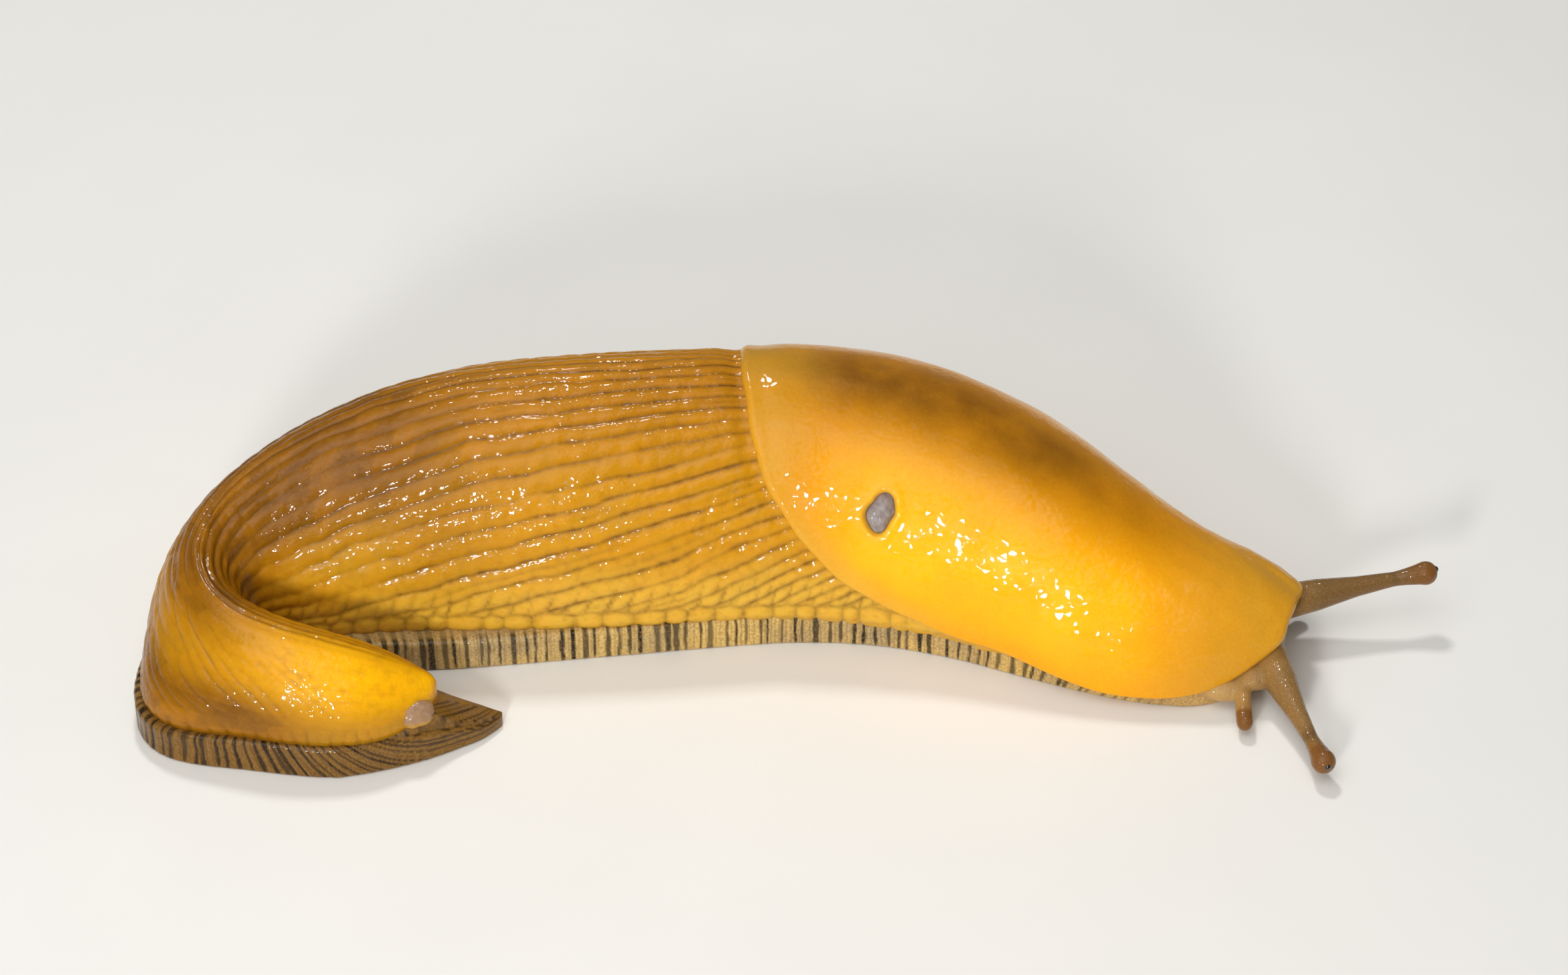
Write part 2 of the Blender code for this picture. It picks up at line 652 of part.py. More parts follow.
def main():
    for obj in list(bpy.data.objects):
        bpy.data.objects.remove(obj)
    nodes = new_collection("banana_slug", False)
    guides = new_collection("cutters", True)

    for name, front, rear in (
        ("foot_front", FOOT_FRONT + 0.05, FOOT_FRONT_REAR),
        ("foot_middle", FOOT_FRONT_REAR + CLEARANCE, TRUNK_REAR),
        ("foot_bend", TRUNK_REAR + CLEARANCE, BEND_REAR),
        ("foot_tail", BEND_REAR + CLEARANCE, FOOT_END - 0.1),
    ):
        foot = foot_length(name, front, rear, nodes)
        if name == "foot_front":
            boolean(foot, "DIFFERENCE", mantle_cutter("over foot front", 4.0, 0.0, guides))
        finish(foot, FRINGE_TAN, 0.35)

    fore_body = body_length("fore_body", HEAD_REAR + CLEARANCE, FORE_BODY_REAR, RING_STEP, nodes)
    boolean(fore_body, "DIFFERENCE", mantle_cutter("over fore body", 4.0, 3.0, guides))
    trunk = body_length("trunk", FORE_BODY_REAR + CLEARANCE, TRUNK_REAR, RING_STEP, nodes)
    bend = body_length("tail_bend", TRUNK_REAR + CLEARANCE, BEND_REAR, BEND_RING_STEP, nodes)
    tail = body_length("tail", BEND_REAR + CLEARANCE, BODY_END - 0.05, RING_STEP, nodes)
    head = build_head(nodes, guides)
    mantle = mantle_shell(nodes)

    inner = (LUNG_HALF_LONG - CLEARANCE, LUNG_HALF_HIGH - CLEARANCE)
    lining = oval_plug("lung_opening", *inner, LINING_TOP, LINING_FLOOR, nodes)
    pit = oval_plug("lung pit", LUNG_HALF_LONG, LUNG_HALF_HIGH, 2.0, -2.5, guides)
    boolean(mantle, "DIFFERENCE", pit)

    clearances = (
        head_form("around head", CLEARANCE, guides),
        mantle_cutter("around mantle", MANTLE_TOP[0] + CLEARANCE, 0.0, guides),
        foot_length("around foot", FOOT_FRONT + 0.05, 40, guides, spare=CLEARANCE),
    )
    for name, root, tip, radius_at, end_radius, droop in (
        ("upper_tentacle_right", UPPER_ROOT_RIGHT, UPPER_TIP_RIGHT, upper_radius, KNOB_RADIUS, 0.3),
        ("upper_tentacle_left", UPPER_ROOT_LEFT, UPPER_TIP_LEFT, upper_radius, KNOB_RADIUS, -0.1),
        ("lower_tentacle_right", LOWER_ROOT_RIGHT, LOWER_TIP_RIGHT, lower_radius, LOWER_RADIUS, 0.0),
        ("lower_tentacle_left", LOWER_ROOT_LEFT, LOWER_TIP_LEFT, lower_radius, LOWER_RADIUS, 0.0),
    ):
        root = head_place(*root)
        tip = head_place(*tip)
        stalk = build_tentacle(name, root, tip, radius_at, end_radius, droop, nodes, clearances)
        if name.startswith("upper"):
            side = name.split("_")[-1]
            place = eye_place(root, tip)
            eye = ellipsoid("eye_" + side, place, [EYE_RADIUS] * 3, 0, nodes, 12)
            socket = ellipsoid("eye socket", place, [EYE_RADIUS + EYE_CLEARANCE] * 3, 0, guides, 12)
            boolean(stalk, "DIFFERENCE", socket)
            finish(eye, EYE_BLACK, 0.05)
        finish(stalk, TENTACLE_BROWN, 0.3)

    place = raised(GLAND_AT, GLAND_ROUND, GLAND_LIFT)
    heading = np.interp(GLAND_AT, MIDLINE[0], MIDLINE[1])
    gland = ellipsoid("tail_gland", place, GLAND_SIZE, heading, nodes, 16)
    around = ellipsoid("gland pit", place, [size + CLEARANCE for size in GLAND_SIZE], heading, guides, 16)
    boolean(tail, "DIFFERENCE", around)
    boolean(gland, "DIFFERENCE", foot_length("under gland", 110, FOOT_END - 0.1, guides, spare=CLEARANCE))

    for obj in (fore_body, trunk, bend, tail):
        finish(obj, YELLOW, 0.35)
    finish(head, TENTACLE_BROWN, 0.35)
    finish(mantle, MANTLE_YELLOW, 0.3)
    finish(lining, LINING_GREY, 0.25)
    finish(gland, GLAND_PINK, 0.2)


main()
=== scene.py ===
"""Banana slug at rest, life size: the wet skin, eyes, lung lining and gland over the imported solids.

The body is a soft dome that follows a midline over the ground. A point on it is told by how far
behind the nose it lies and by how far round the back it lies, from -1 at the right flank's foot
over 0 on the crest to 1 at the left flank's foot. Lengths are millimetres until a piece is done.
"""

import math

import bmesh
import bpy
import numpy as np
from bpy.props import FloatProperty, FloatVectorProperty, PointerProperty
from mathutils import Matrix, Vector
from mathutils.kdtree import KDTree


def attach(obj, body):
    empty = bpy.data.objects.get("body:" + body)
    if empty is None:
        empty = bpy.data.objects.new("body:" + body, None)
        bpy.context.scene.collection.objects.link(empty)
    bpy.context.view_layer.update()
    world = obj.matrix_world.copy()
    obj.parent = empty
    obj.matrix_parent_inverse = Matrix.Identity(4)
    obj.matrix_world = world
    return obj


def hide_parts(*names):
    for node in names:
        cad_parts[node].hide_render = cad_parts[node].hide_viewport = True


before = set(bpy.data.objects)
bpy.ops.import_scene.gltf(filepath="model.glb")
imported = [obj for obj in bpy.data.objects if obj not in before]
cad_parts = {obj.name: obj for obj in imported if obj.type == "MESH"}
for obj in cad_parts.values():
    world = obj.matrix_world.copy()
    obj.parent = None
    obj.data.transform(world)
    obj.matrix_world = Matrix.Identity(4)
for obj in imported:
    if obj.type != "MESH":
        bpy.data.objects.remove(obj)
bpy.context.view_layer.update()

bl_info = {
    "name": "Banana slug",
    "version": (1, 0, 0),
    "blender": (4, 5, 0),
    "location": "3D View > Sidebar > Slug",
    "description": "Builds the skin, eyes, lung lining and slime gland of a life-size banana slug",
    "category": "Add Mesh",
}

MM = 0.001
CLEARANCE = 0.3

# The midline: its start, and its course in degrees from +X at distances behind the nose
NOSE_X = 46.8
NOSE_Y = -6.5
COURSE_AT = (0, 12, 25, 40, 58, 76, 90, 100, 108, 116, 126, 140)
COURSE = (158, 157, 153, 167, 185.5, 187, 195.5, 213, 252, 314, 356.5, 370.5)
MIDLINE_STEP = 0.25

# The body at distances behind the nose: half widths, heights, how far its crest is drawn to an
# edge, and the foot's half widths; then how its ends, its flanks and the outer bend are rounded
BODY_AT = (0, 8, 20, 36, 54, 72, 88, 101, 114, 126, 135)
HALF_RIGHT = (5.8, 8.5, 11.8, 13.8, 14.2, 13.8, 11.8, 9.2, 7.3, 6.4, 5.0)
HALF_LEFT = (7.8, 7.6, 9.8, 13.3, 13.1, 13.2, 12.0, 8.2, 5.5, 5.9, 4.8)
BACK_HEIGHT = (9.6, 11.3, 16.5, 21.8, 23.8, 24.3, 22.8, 18.9, 14.7, 11.9, 8.6)
FRINGE_HEIGHT = (2.2, 2.4, 2.6, 3.0, 3.2, 3.3, 3.4, 3.4, 3.4, 3.4, 3.2)
CREST = (0, 0, 0, 0, 0.02, 0.05, 0.12, 0.2, 0.28, 0.3, 0.25)
FOOT_RIGHT = (4.8, 8.6, 10.6, 11.7, 12.7, 13.0, 12.4, 9.6, 8.3, 7.5, 5.7)
FOOT_LEFT = (4.5, 7.0, 9.6, 11.5, 12.4, 11.5, 10.0, 6.4, 6.0, 5.9, 6.3)
BODY_FRONT = 9.0
BODY_END = 136.5
FOOT_END = 143.6
TIP_END = 142.3
TIP_ROUND = 2.6
FAR_TIP_SHARE = 0.45
FOOT_FRONT = 1.0
FOOT_FRONT_ROUND = 7.0
FOOT_TAIL_TAPER = 16.0
FOOT_TIP_SHARE = 0.24
NOSE_ROUND = 9.0
TAIL_ROUND = 8.0
END_HEIGHT_SHARE = 0.35
FLANK_TUCK = 0.10
TAIL_WEDGE = 1.0
WEDGE_AT = (128, 136, 138, 145)
TIP_FROM = 134.0
FLARE = 2.9
FLARE_AT = 115.5
FLARE_SPREAD = 3.6
FLARE_ROUND = 0.35
CHIN_DROP = 1.1
CHIN_REAR = 7.0

# The fringe's bars: how far they lean under the hood, and their spacing along the tail's tip
HOOD_LEAN = 1.3
TIP_GAP = 0.74

# Where the slime is uneven and breaks into glints: behind the nose, round the back, how wide
MANTLE_GLINTS = (
    (44.3, -0.61, 3.0), (34.6, -0.52, 2.6), (32.1, -0.71, 2.0), (26.5, -0.52, 3.0),
    (22.5, -0.56, 3.2), (24.0, -0.74, 3.0), (7.5, -0.51, 1.8), (4.0, -0.67, 1.8),
    (47.0, -0.42, 2.2),
)
BACK_GLINTS = (
    (121.0, 0.2, 1.6), (124.5, 0.22, 1.6), (128.0, 0.25, 1.8), (131.5, 0.28, 1.8),
    (134.0, 0.36, 1.8), (131.2, 0.64, 1.5), (128.5, 0.7, 1.4), (107.1, -0.65, 1.8),
    (103.6, -0.55, 1.5),
)

# How close together the skin's points lie, and the angle from which an edge is shaded sharp
BODY_STEP = 0.27
BODY_ROUND = 400
FOOT_STEP = 0.14
RIM_POINTS = 420
HEAD_GRAIN = 0.17
SHARP_FROM = math.radians(55)

# The furrows: how fast they sink towards the fringe, where they start and fade, and the lengths
# of the pads between them, of the sill's pads over the fringe and of the tail's pleats
SINK = 0.018
SINK_AT = (30, 50, 62, 78, 98, 108)
SINK_RUN = (-18, 0, 12, 23, 32, 33)
GIRTH = 30.0
FURROWS_FADE = (28, 40, 128, 136)
SHORT_BRICK = 2.2
BRICK_BAND = 5.0
SILL_BRICK = 2.9
SILL_HEIGHT = 1.35
PLEAT = 0.95

# The mantle, an oval shield whose edge reaches the foot's fringe in front: its reach, how
# bluntly its edge turns, its height over the dome, and the skirt over the head
MANTLE_CENTRE = 27.0
MANTLE_REAR = 54.8
MANTLE_FRONT = 1.2
MANTLE_LIFT = 0.35
REAR_CURVE = 1.4
SIDE_CURVE = 3.7
FRONT_CURVE = 9
MANTLE_UNDER = (-1.6, -1.6, -1.6, -1.55, -1.4, -1.15, -0.75)
UNDER_AT = (0, 0.4, 0.81, 0.89, 0.945, 0.98, 1.0)
UNDER_MARK = 0.4
RIM_ROUND = 0.975
RIM_LOW = -0.35
SKIRT_AHEAD = 0.9
SKIRT_CORNER = 0.7
SKIRT_OUT = 1.3
SKIRT_DOWN = 1.6
SKIRT_ARCH = 0.5
SKIRT_REAR = 26.0
CORNER_ROUND = 0.52
LUNG_AT = 39.3
LUNG_ROUND = -0.57
LUNG_TURN = (0, 40, 70, 88, 128, 155, 196, 232, 257, 276, 300, 325, 360)
LUNG_REACH = (1.28, 1.5, 1.92, 1.9, 1.25, 1.22, 1.42, 1.62, 1.92, 1.95, 1.45, 1.17, 1.28)

# The lung's hole and the edge of its lining, as (share of the outline, height over the skin)
HOLE_PROFILE = ((0.9, -1.3), (0.98, -0.6), (1.02, -0.1), (1.14, 0.2), (1.4, 0.6))
LINING_EDGE = ((0.5, -1.2), (0.95, -1.15), (1.0, -0.9), (0.97, -0.62))
LINING_TILT = 0.12

# Head and tentacles: ahead of the nose, to the slug's left of it, and above the ground
SKULL = ((-6.3, 0.1, 4.0), (5.0, 6.2, 3.3))
SNOUT = ((-3.1, -0.1, 3.0), (2.1, 3.4, 1.9))
LIP = ((-5.2, 6.4, 1.9), (2.5, 1.7, 1.2))
CHEEK_RADIUS = 1.9
MOUTH = ((-0.9, -0.1, 2.1), (1.9, 2.2, 0.3))
UPPER_ROOT_RIGHT = (-2.45, -1.8, 3.9)
UPPER_TIP_RIGHT = (6.6, -13.5, 2.3)
UPPER_ROOT_LEFT = (-3.6, 4.1, 4.1)
UPPER_TIP_LEFT = (9.2, 11.6, 6.2)
UPPER_AT = (0, 0.3, 0.56, 0.80, 0.88, 1.0)
UPPER_RADII = (1.8, 1.5, 0.97, 0.7, 0.82, 1.12)
WEB = ((-2.2, -4.5, 2.85), (1.7, 2.0, 1.25))
KNOB_RADIUS = 1.16
EYE_LIFT = 0.25
EYE_SINK = 0.12
LOWER_ROOT_RIGHT = (-3.8, -4.5, 2.5)
LOWER_TIP_RIGHT = (-1.7, -10.1, 1.5)
LOWER_ROOT_LEFT = (-4.0, 4.3, 2.7)
LOWER_TIP_LEFT = (-1.8, 7.6, 1.7)
LOWER_RADIUS = 0.8
STALK_REACH = 2.3

# The slime gland under the blunt end of the tail
GLAND_AT = 134.4
GLAND_ROUND = 0.76
GLAND_LIFT = -0.35
GLAND_SIZE = (2.1, 1.6, 1.5)
GLAND_SINK = 0.4
GLAND_INWARD = 0.25
MOUND_HEIGHT = 1.3
MOUND_AT = 135.6
MOUND_ASIDE = 3.1
MOUND_SPREAD = 1.9
TOP_SHARES = np.linspace(0.95, 0.12, 15)

# Flesh and slime: how they bend light, the film's share and roughness, its relief as a share
# of its facets' size, and how much wider the skin's pebbles and the film's swells are
FLESH_IOR = 1.38
SLIME_IOR = 1.34
FILM_WEIGHT = 0.65
FILM_ROUGHNESS = 0.04
FILM_RELIEF = 0.17
COARSER = 2.2

# The camera: its rise in degrees, distance and lens, and where its axis meets the ground
CAMERA_RISE = 38.7
CAMERA_AWAY = 379.8
CAMERA_LENS = 90.0
CAMERA_AIM = (-4.3, 9.4)
CAMERA_SHIFT = (0.0241, 0.051)

# The stage in metres: half the floor's width, and each lamp's width and place
FLOOR_HALF = 1.5
LAMPS = {
    "key": (0.5, (-0.12, -0.36, 0.5)),
    "sparkle": (0.06, (-0.11, -0.42, 0.16)),
    "crest_sparkle": (0.06, (-0.05, 0.2, 0.43)),
    "soft": (0.8, (-0.2, -0.2, 0.8)),
}
WORLD_LIGHT = 0.18


def linear(code):
    """The linear colour of an sRGB hex value."""
    shares = [int(code[i : i + 2], 16) / 255 for i in (1, 3, 5)]
    return [x / 12.92 if x <= 0.04045 else ((x + 0.055) / 1.055) ** 2.4 for x in shares]


def spline(x, at, values):
    """A natural cubic spline through a few measured values."""
    at = np.asarray(at, float)
    values = np.asarray(values, float)
    count = len(at)
    width = np.diff(at)
    slope = np.diff(values) / width
    system = np.eye(count)
    slopes = np.zeros(count)
    for i in range(1, count - 1):
        system[i, i - 1 : i + 2] = width[i - 1], 2 * (width[i - 1] + width[i]), width[i]
        slopes[i] = 6 * (slope[i] - slope[i - 1])
    second = np.linalg.solve(system, slopes)
    x = np.clip(x, at[0], at[-1])
    i = np.clip(np.searchsorted(at, x) - 1, 0, count - 2)
    span = width[i]
    before = x - at[i]
    after = at[i + 1] - x
    curved = (second[i] * after**3 + second[i + 1] * before**3) / (6 * span)
    straight = (values[i] / span - second[i] * span / 6) * after
    return curved + straight + (values[i + 1] / span - second[i + 1] * span / 6) * before


def smooth(x):
    """A soft step from 0 to 1."""
    x = np.clip(x, 0, 1)
    return x * x * (3 - 2 * x)


def past(x, start, width):
    """A soft step from 0 at a start to 1 a width beyond it."""
    return smooth((x - start) / width)


def between(s, start, full, falling, end):
    """A soft rise from 0 to 1 and back to 0 at four distances behind the nose."""
    return smooth((s - start) / (full - start)) * (1 - smooth((s - falling) / (end - falling)))


def near(distance, width):
    """1 at no distance, falling softly to 0 within about two widths."""
    return np.exp(-((distance / width) ** 2))


def totals(steps):
    """Running totals along the last axis, from 0."""
    sums = np.cumsum(steps, axis=-1)
    return np.concatenate([np.zeros_like(sums[..., :1]), sums], axis=-1)


def chance(index, seed):
    """A repeatable number from 0 to 1 for each whole number."""
    mixed = np.sin(index * 12.9898 + seed * 78.233) * 43758.5453
    return mixed - np.floor(mixed)


def ripple(x, y, seed):
    """Smooth noise from -1 to 1 over a plane, one lump to a unit."""
    column = np.floor(x)
    row = np.floor(y)
    u = smooth(x - column)
    v = smooth(y - row)
    low = chance(column + 157 * row, seed) * (1 - u) + chance(column + 1 + 157 * row, seed) * u
    row = row + 1
    high = chance(column + 157 * row, seed) * (1 - u) + chance(column + 1 + 157 * row, seed) * u
    return 2 * (low * (1 - v) + high * v) - 1


def trace_midline():
    """Distances behind the nose, and the course, place and curvature of the midline there."""
    at = np.arange(0, FOOT_END + 2 * MIDLINE_STEP, MIDLINE_STEP)
    course = np.radians(spline(at, COURSE_AT, COURSE))
    middle = (course[1:] + course[:-1]) / 2
    x = NOSE_X + totals(np.cos(middle) * MIDLINE_STEP)
    y = NOSE_Y + totals(np.sin(middle) * MIDLINE_STEP)
    return at, course, x, y, np.gradient(course, at)


MIDLINE = trace_midline()


def across(s, offset):
    """Ground position at an offset from the midline, positive to the slug's left."""
    at, course, x, y, _ = MIDLINE
    heading = np.interp(s, at, course) - math.pi / 2
    x, y = np.interp(s, at, x), np.interp(s, at, y)
    return x + np.cos(heading) * offset, y + np.sin(heading) * offset


def crowded(s, half, share):
    """A half width on the inner side of the fold, kept short of the fold's own centre."""
    curvature = np.interp(s, MIDLINE[0], MIDLINE[4])
    room = share / np.maximum(curvature, 0.001)
    return half * (1 + (half / room) ** 6) ** (-1 / 6)


def flare(s):
    """How far the flank spreads at the outside of the bend."""
    return FLARE * near(s - FLARE_AT, FLARE_SPREAD)


def foot_half(s, side):
    """Half width of the foot, side -1 for the right and 1 for the left."""
    half = spline(s, BODY_AT, FOOT_LEFT) + 0.9 * flare(s)
    if side < 0:
        half = crowded(s, spline(s, BODY_AT, FOOT_RIGHT), 0.8)
    behind = np.clip((s - FOOT_FRONT) / FOOT_FRONT_ROUND, 0, 1)
    front = np.sqrt(1 - (1 - behind) ** 2)
    rear = np.clip((FOOT_END - s) / FOOT_TAIL_TAPER, 0, 1) ** 0.7
    cap = np.sqrt(1 - np.clip(1 - (TIP_END - s) / TIP_ROUND, 0, 1) ** 2)
    slim = FAR_TIP_SHARE * past(s, 134, 6) if side < 0 else 0
    return half * front * rear * cap * (1 - slim)


def foot_top(s, offset):
    """Height of the foot's upper face, a low wedge at the tail and flat elsewhere."""
    half = np.maximum(np.where(offset < 0, foot_half(s, -1), foot_half(s, 1)), 0.01)
    wedge = TAIL_WEDGE * between(s, *WEDGE_AT)
    tip = 1 - (1 - FOOT_TIP_SHARE) * smooth((s - TIP_FROM) / (FOOT_END + 1 - TIP_FROM))
    return spline(s, BODY_AT, FRINGE_HEIGHT) * tip + wedge * np.clip(1 - (offset / half) ** 2, 0, 1)


def stations(front, rear, step):
    """Distances behind the nose, evenly spaced along the foot's longer edge."""
    fine = np.linspace(front, rear, 3000)
    run = np.diff(fine)
    for side in (-1, 1):
        x, y = across(fine, side * foot_half(fine, side))
        run = np.maximum(run, np.hypot(np.diff(x), np.diff(y)))
    length = totals(run)
    return np.interp(np.linspace(0, length[-1], round(length[-1] / step) + 1), length, fine)


def body_point(s, t):
    """A point of the smooth dome of the body."""
    s, t = np.broadcast_arrays(np.asarray(s, float), np.asarray(t, float))
    nose = np.sqrt(1 - np.clip(1 - s / NOSE_ROUND, 0, 1) ** 2)
    tail = np.sqrt(1 - np.clip(1 - (BODY_END - s) / TAIL_ROUND, 0, 1) ** 2)
    end = nose * tail
    angle = np.abs(t) * math.pi / 2
    crest = spline(s, BODY_AT, CREST)
    sideways = np.sin(angle) * (1 - FLANK_TUCK * np.abs(t) ** 6)
    upward = (1 - crest) * np.cos(angle) + crest * (1 - np.sin(angle) ** 1.4)
    right = crowded(s, spline(s, BODY_AT, HALF_RIGHT), 0.72)
    left = spline(s, BODY_AT, HALF_LEFT)
    spread = flare(s) * smooth((t - FLARE_ROUND) / (1 - FLARE_ROUND))
    offset = np.where(t < 0, -right * sideways, left * sideways + spread) * end
    floor = foot_top(s, offset) + CLEARANCE
    share = END_HEIGHT_SHARE + (1 - END_HEIGHT_SHARE) * end
    x, y = across(s, offset)
    return np.stack([x, y, floor + (spline(s, BODY_AT, BACK_HEIGHT) - floor) * upward * share], -1)


def body_normal(s, t):
    """The outward direction of the smooth dome."""
    ds, dt = 0.05, 0.002
    along = body_point(s + ds, t) - body_point(s - ds, t)
    round_back = body_point(s, np.minimum(t + dt, 1)) - body_point(s, np.maximum(t - dt, -1))
    normal = np.cross(round_back, along)
    return normal / np.linalg.norm(normal, axis=-1, keepdims=True)


def raised(s, t, lift):
    """A point at a height above the dome, or below it where the lift is negative."""
    return body_point(s, t) + body_normal(s, t) * np.asarray(lift, float)[..., None]


def beyond_rim(s, t):
    """How far behind the mantle's rear rim a point of the dome lies, negative under the mantle."""
    behind = np.maximum(s - MANTLE_CENTRE, 0.01) / (MANTLE_REAR - MANTLE_CENTRE)
    level = behind**REAR_CURVE + np.abs(t) ** SIDE_CURVE
    along = REAR_CURVE * behind ** (REAR_CURVE - 1) / (MANTLE_REAR - MANTLE_CENTRE)
    around = SIDE_CURVE * np.abs(t) ** (SIDE_CURVE - 1) / GIRTH
    return (level - 1) / np.maximum(np.hypot(along, around), 0.005)


def crossed(first, second):
    """Joins two depths from 0 to 1 so that their crossing is filled out."""
    return 1 - (1 - first) * (1 - second)


def furrow_marks(s, t, around, spacing, line):
    """Valley depth from 0 to 1, line darkness and tone of each ridge of the back."""
    girth = np.abs(around[:, [0, -1]]).max(axis=1)[:, None]
    sunk = np.exp(SINK * np.interp(s, SINK_AT, SINK_RUN))
    rows = GIRTH / spacing
    v = t / sunk * rows
    wander = 0.2 * ripple(s / 8, v / 2.5, 3)
    v = v + wander + 0.11 * ripple(s / 2.7, v / 1.4, 4) + 0.03 * ripple(s / 0.9, v / 0.9, 16)
    row_width = girth * sunk / rows
    above = (1 - np.abs(t)) * girth
    row = np.floor(v)
    low = smooth((BRICK_BAND - above) / 2.5)

    place = s / SILL_BRICK + 0.3 * ripple(s / 3.4, 0, 12)
    sill_brick = np.round(place)
    from_joint = np.abs(place - sill_brick)
    sill = SILL_HEIGHT * (0.72 + 0.5 * np.sqrt(from_joint) + 0.14 * ripple(s / 5, 0, 11))
    off_sill = smooth((above - sill + 0.1) / 0.35)

    edge = np.round(v)
    strength = 0.74 + 0.4 * ripple(s / 8, edge * 1.7, 5) + 0.25 * ripple(s / 1.7, edge * 2.3, 17)
    lines = [(np.abs(v - edge) * row_width, np.clip(strength, 0.12, 1) * off_sill, 1)]
    middle = row + 0.5
    strength = np.clip(0.9 * ripple(s / 7, middle * 1.9, 6) - 0.35, 0, 0.45)
    lines.append((np.abs(v - middle) * row_width, strength * off_sill, 0.8))

    lean = 0.45 * (v - row - 0.5) * row_width
    place = (s + lean + 9 * chance(row, 7)) / SHORT_BRICK + 0.36 * ripple(s / 3, row * 1.3, 8)
    short = np.round(place)
    kept = 0.35 + 0.65 * (chance(short + 31 * row, 10) > 0.35)
    strength = (0.2 + 0.6 * low * kept) * off_sill
    lines.append((np.abs(place - short) * SHORT_BRICK, strength, 0.22 + 0.7 * low))

    lines.append((np.abs(above - sill), 0.75 + 0 * s + 0 * t, 0.75))
    under_sill = 1 - smooth((above - sill) / 0.2)
    lines.append((from_joint * SILL_BRICK, 0.85 * under_sill, 0.7))

    valley = 0
    dark = 0
    for distance, strength, pigment in lines:
        hollow = 0.6 * near(distance, 1.9 * line) + 0.4 * near(distance, 4.0 * line)
        # The line's core is brown pigment; its wider, fainter part is painted shade on the valley's
        # slopes
        brown = 0.8 * near(distance, line) + 0.2 * near(distance, 3.0 * line)
        valley = crossed(valley, strength * hollow)
        dark = crossed(dark, pigment * strength * brown)
    reach = between(s, *FURROWS_FADE)
    smoother_tail = 1 - 0.9 * past(s, 108, 8) * past(t, -0.1, 0.25)
    valley, dark = valley * reach * smoother_tail, dark * reach * smoother_tail
    fold = (around - 0.75 * s) / 1.15 + 0.5 * ripple(s / 4, around / 3, 18)
    strength = np.clip(0.35 + 0.6 * ripple(s / 3, np.round(fold) * 1.7, 19), 0, 0.7)
    strength = strength * between(s, 104, 112, 120, 132) * past(t, 0.12, 0.3) * past(above, 1, 2)
    fold = near(np.abs(fold - np.round(fold)), 0.22) * strength
    place = s / PLEAT + 0.35 * ripple(s / 2.2, above / 2, 24)
    pleat = np.round(place)
    strength = 0.25 + 0.75 * chance(pleat, 25)
    strength = strength * past(s, 103, 8) * (1 - past(above, 0.9, 0.8 + 1.4 * chance(pleat, 26)))
    pleat = near(np.abs(place - pleat) * PLEAT, 0.13) * strength * (1 - past(s, 130, 5))
    fold = crossed(fold, pleat)
    tone = chance(short + 17 * row, 13) * 0.5 + 0.5 * (0.5 + 0.5 * ripple(s / 3, v, 14))
    return crossed(valley, 0.5 * fold), crossed(dark, 0.45 * fold), tone


def stripe_marks(phase, rise, gap, width):
    """Darkness of the fringe's bars, one to each whole phase, at a rise up the fringe."""
    sway = 0.1 * ripple(phase / 1.7, rise * 1.6, 21)
    phase = phase + sway + 0.04 * ripple(phase / 0.32, rise * 7, 22)
    dark = 0
    for seed, part, share, weight in ((23, 1.0, 1.0, 1.0), (27, 0.43, 0.3, 0.4)):
        middle = np.round(phase / part)
        for step in (-1, 0, 1):
            index = middle + step
            centre = (index + 0.6 * (chance(index, seed) - 0.5)) * part
            low_end = -0.12 + 0.25 * chance(index, seed + 4)
            half = width * share * (0.2 + 0.3 * chance(index, seed + 1) ** 1.5)
            uneven = 1 + 0.3 * ripple(rise * 3, index * 1.7, seed + 2)
            half = half * smooth((rise - low_end) / 0.35 + 0.5) * uneven
            strength = weight * (0.75 + 0.25 * chance(index, seed + 3))
            strength = strength * smooth((rise - low_end) / 0.15 + 1)
            inside = half - np.abs(phase - centre) * gap
            dark = np.maximum(dark, strength * smooth(inside / 0.12 + 0.5))
    return dark


def glint_marks(s, t, places, ground):
    """How uneven the film of slime is: fully at the glints, and by a ground value elsewhere."""
    rough = ground + 0 * s * t
    for behind, round_back, width in places:
        rough = np.maximum(rough, near(np.hypot(s - behind, (t - round_back) * GIRTH * 0.8), width))
    return rough


def new_object(name, data):
    """A new object in the scene."""
    obj = bpy.data.objects.new(name, data)
    bpy.context.scene.collection.objects.link(obj)
    return obj


def mesh_of(name, shape):
    """A new mesh from an edited shape, which is then freed."""
    mesh = bpy.data.meshes.new(name)
    shape.to_mesh(mesh)
    shape.free()
    return mesh


def mesh_from(name, points, faces):
    """A mesh with its faces turned outwards."""
    mesh = bpy.data.meshes.new(name)
    mesh.from_pydata(np.asarray(points).tolist(), [], faces)
    shape = bmesh.new()
    shape.from_mesh(mesh)
    bmesh.ops.recalc_face_normals(shape, faces=shape.faces)
    shape.to_mesh(mesh)
    shape.free()
    return mesh


def ring_faces(count, around):
    """Quads between rings of equal point count."""
    i = np.arange(count - 1)[:, None] * around
    j = np.arange(around)[None, :]
    k = (j + 1) % around
    return np.stack([i + j, i + k, i + around + k, i + around + j], -1).reshape(-1, 4).tolist()


def loft(name, rings):
    """A closed solid through rings of equal point count, capped by a fan at both ends."""
    count, around = rings.shape[:2]
    points = np.concatenate([rings.reshape(-1, 3), rings[[0, -1]].mean(axis=1)])
    faces = ring_faces(count, around)
    last = (count - 1) * around
    for j in range(around):
        k = (j + 1) % around
        faces.append([count * around, k, j])
        faces.append([count * around + 1, last + j, last + k])
    return mesh_from(name, points, faces)


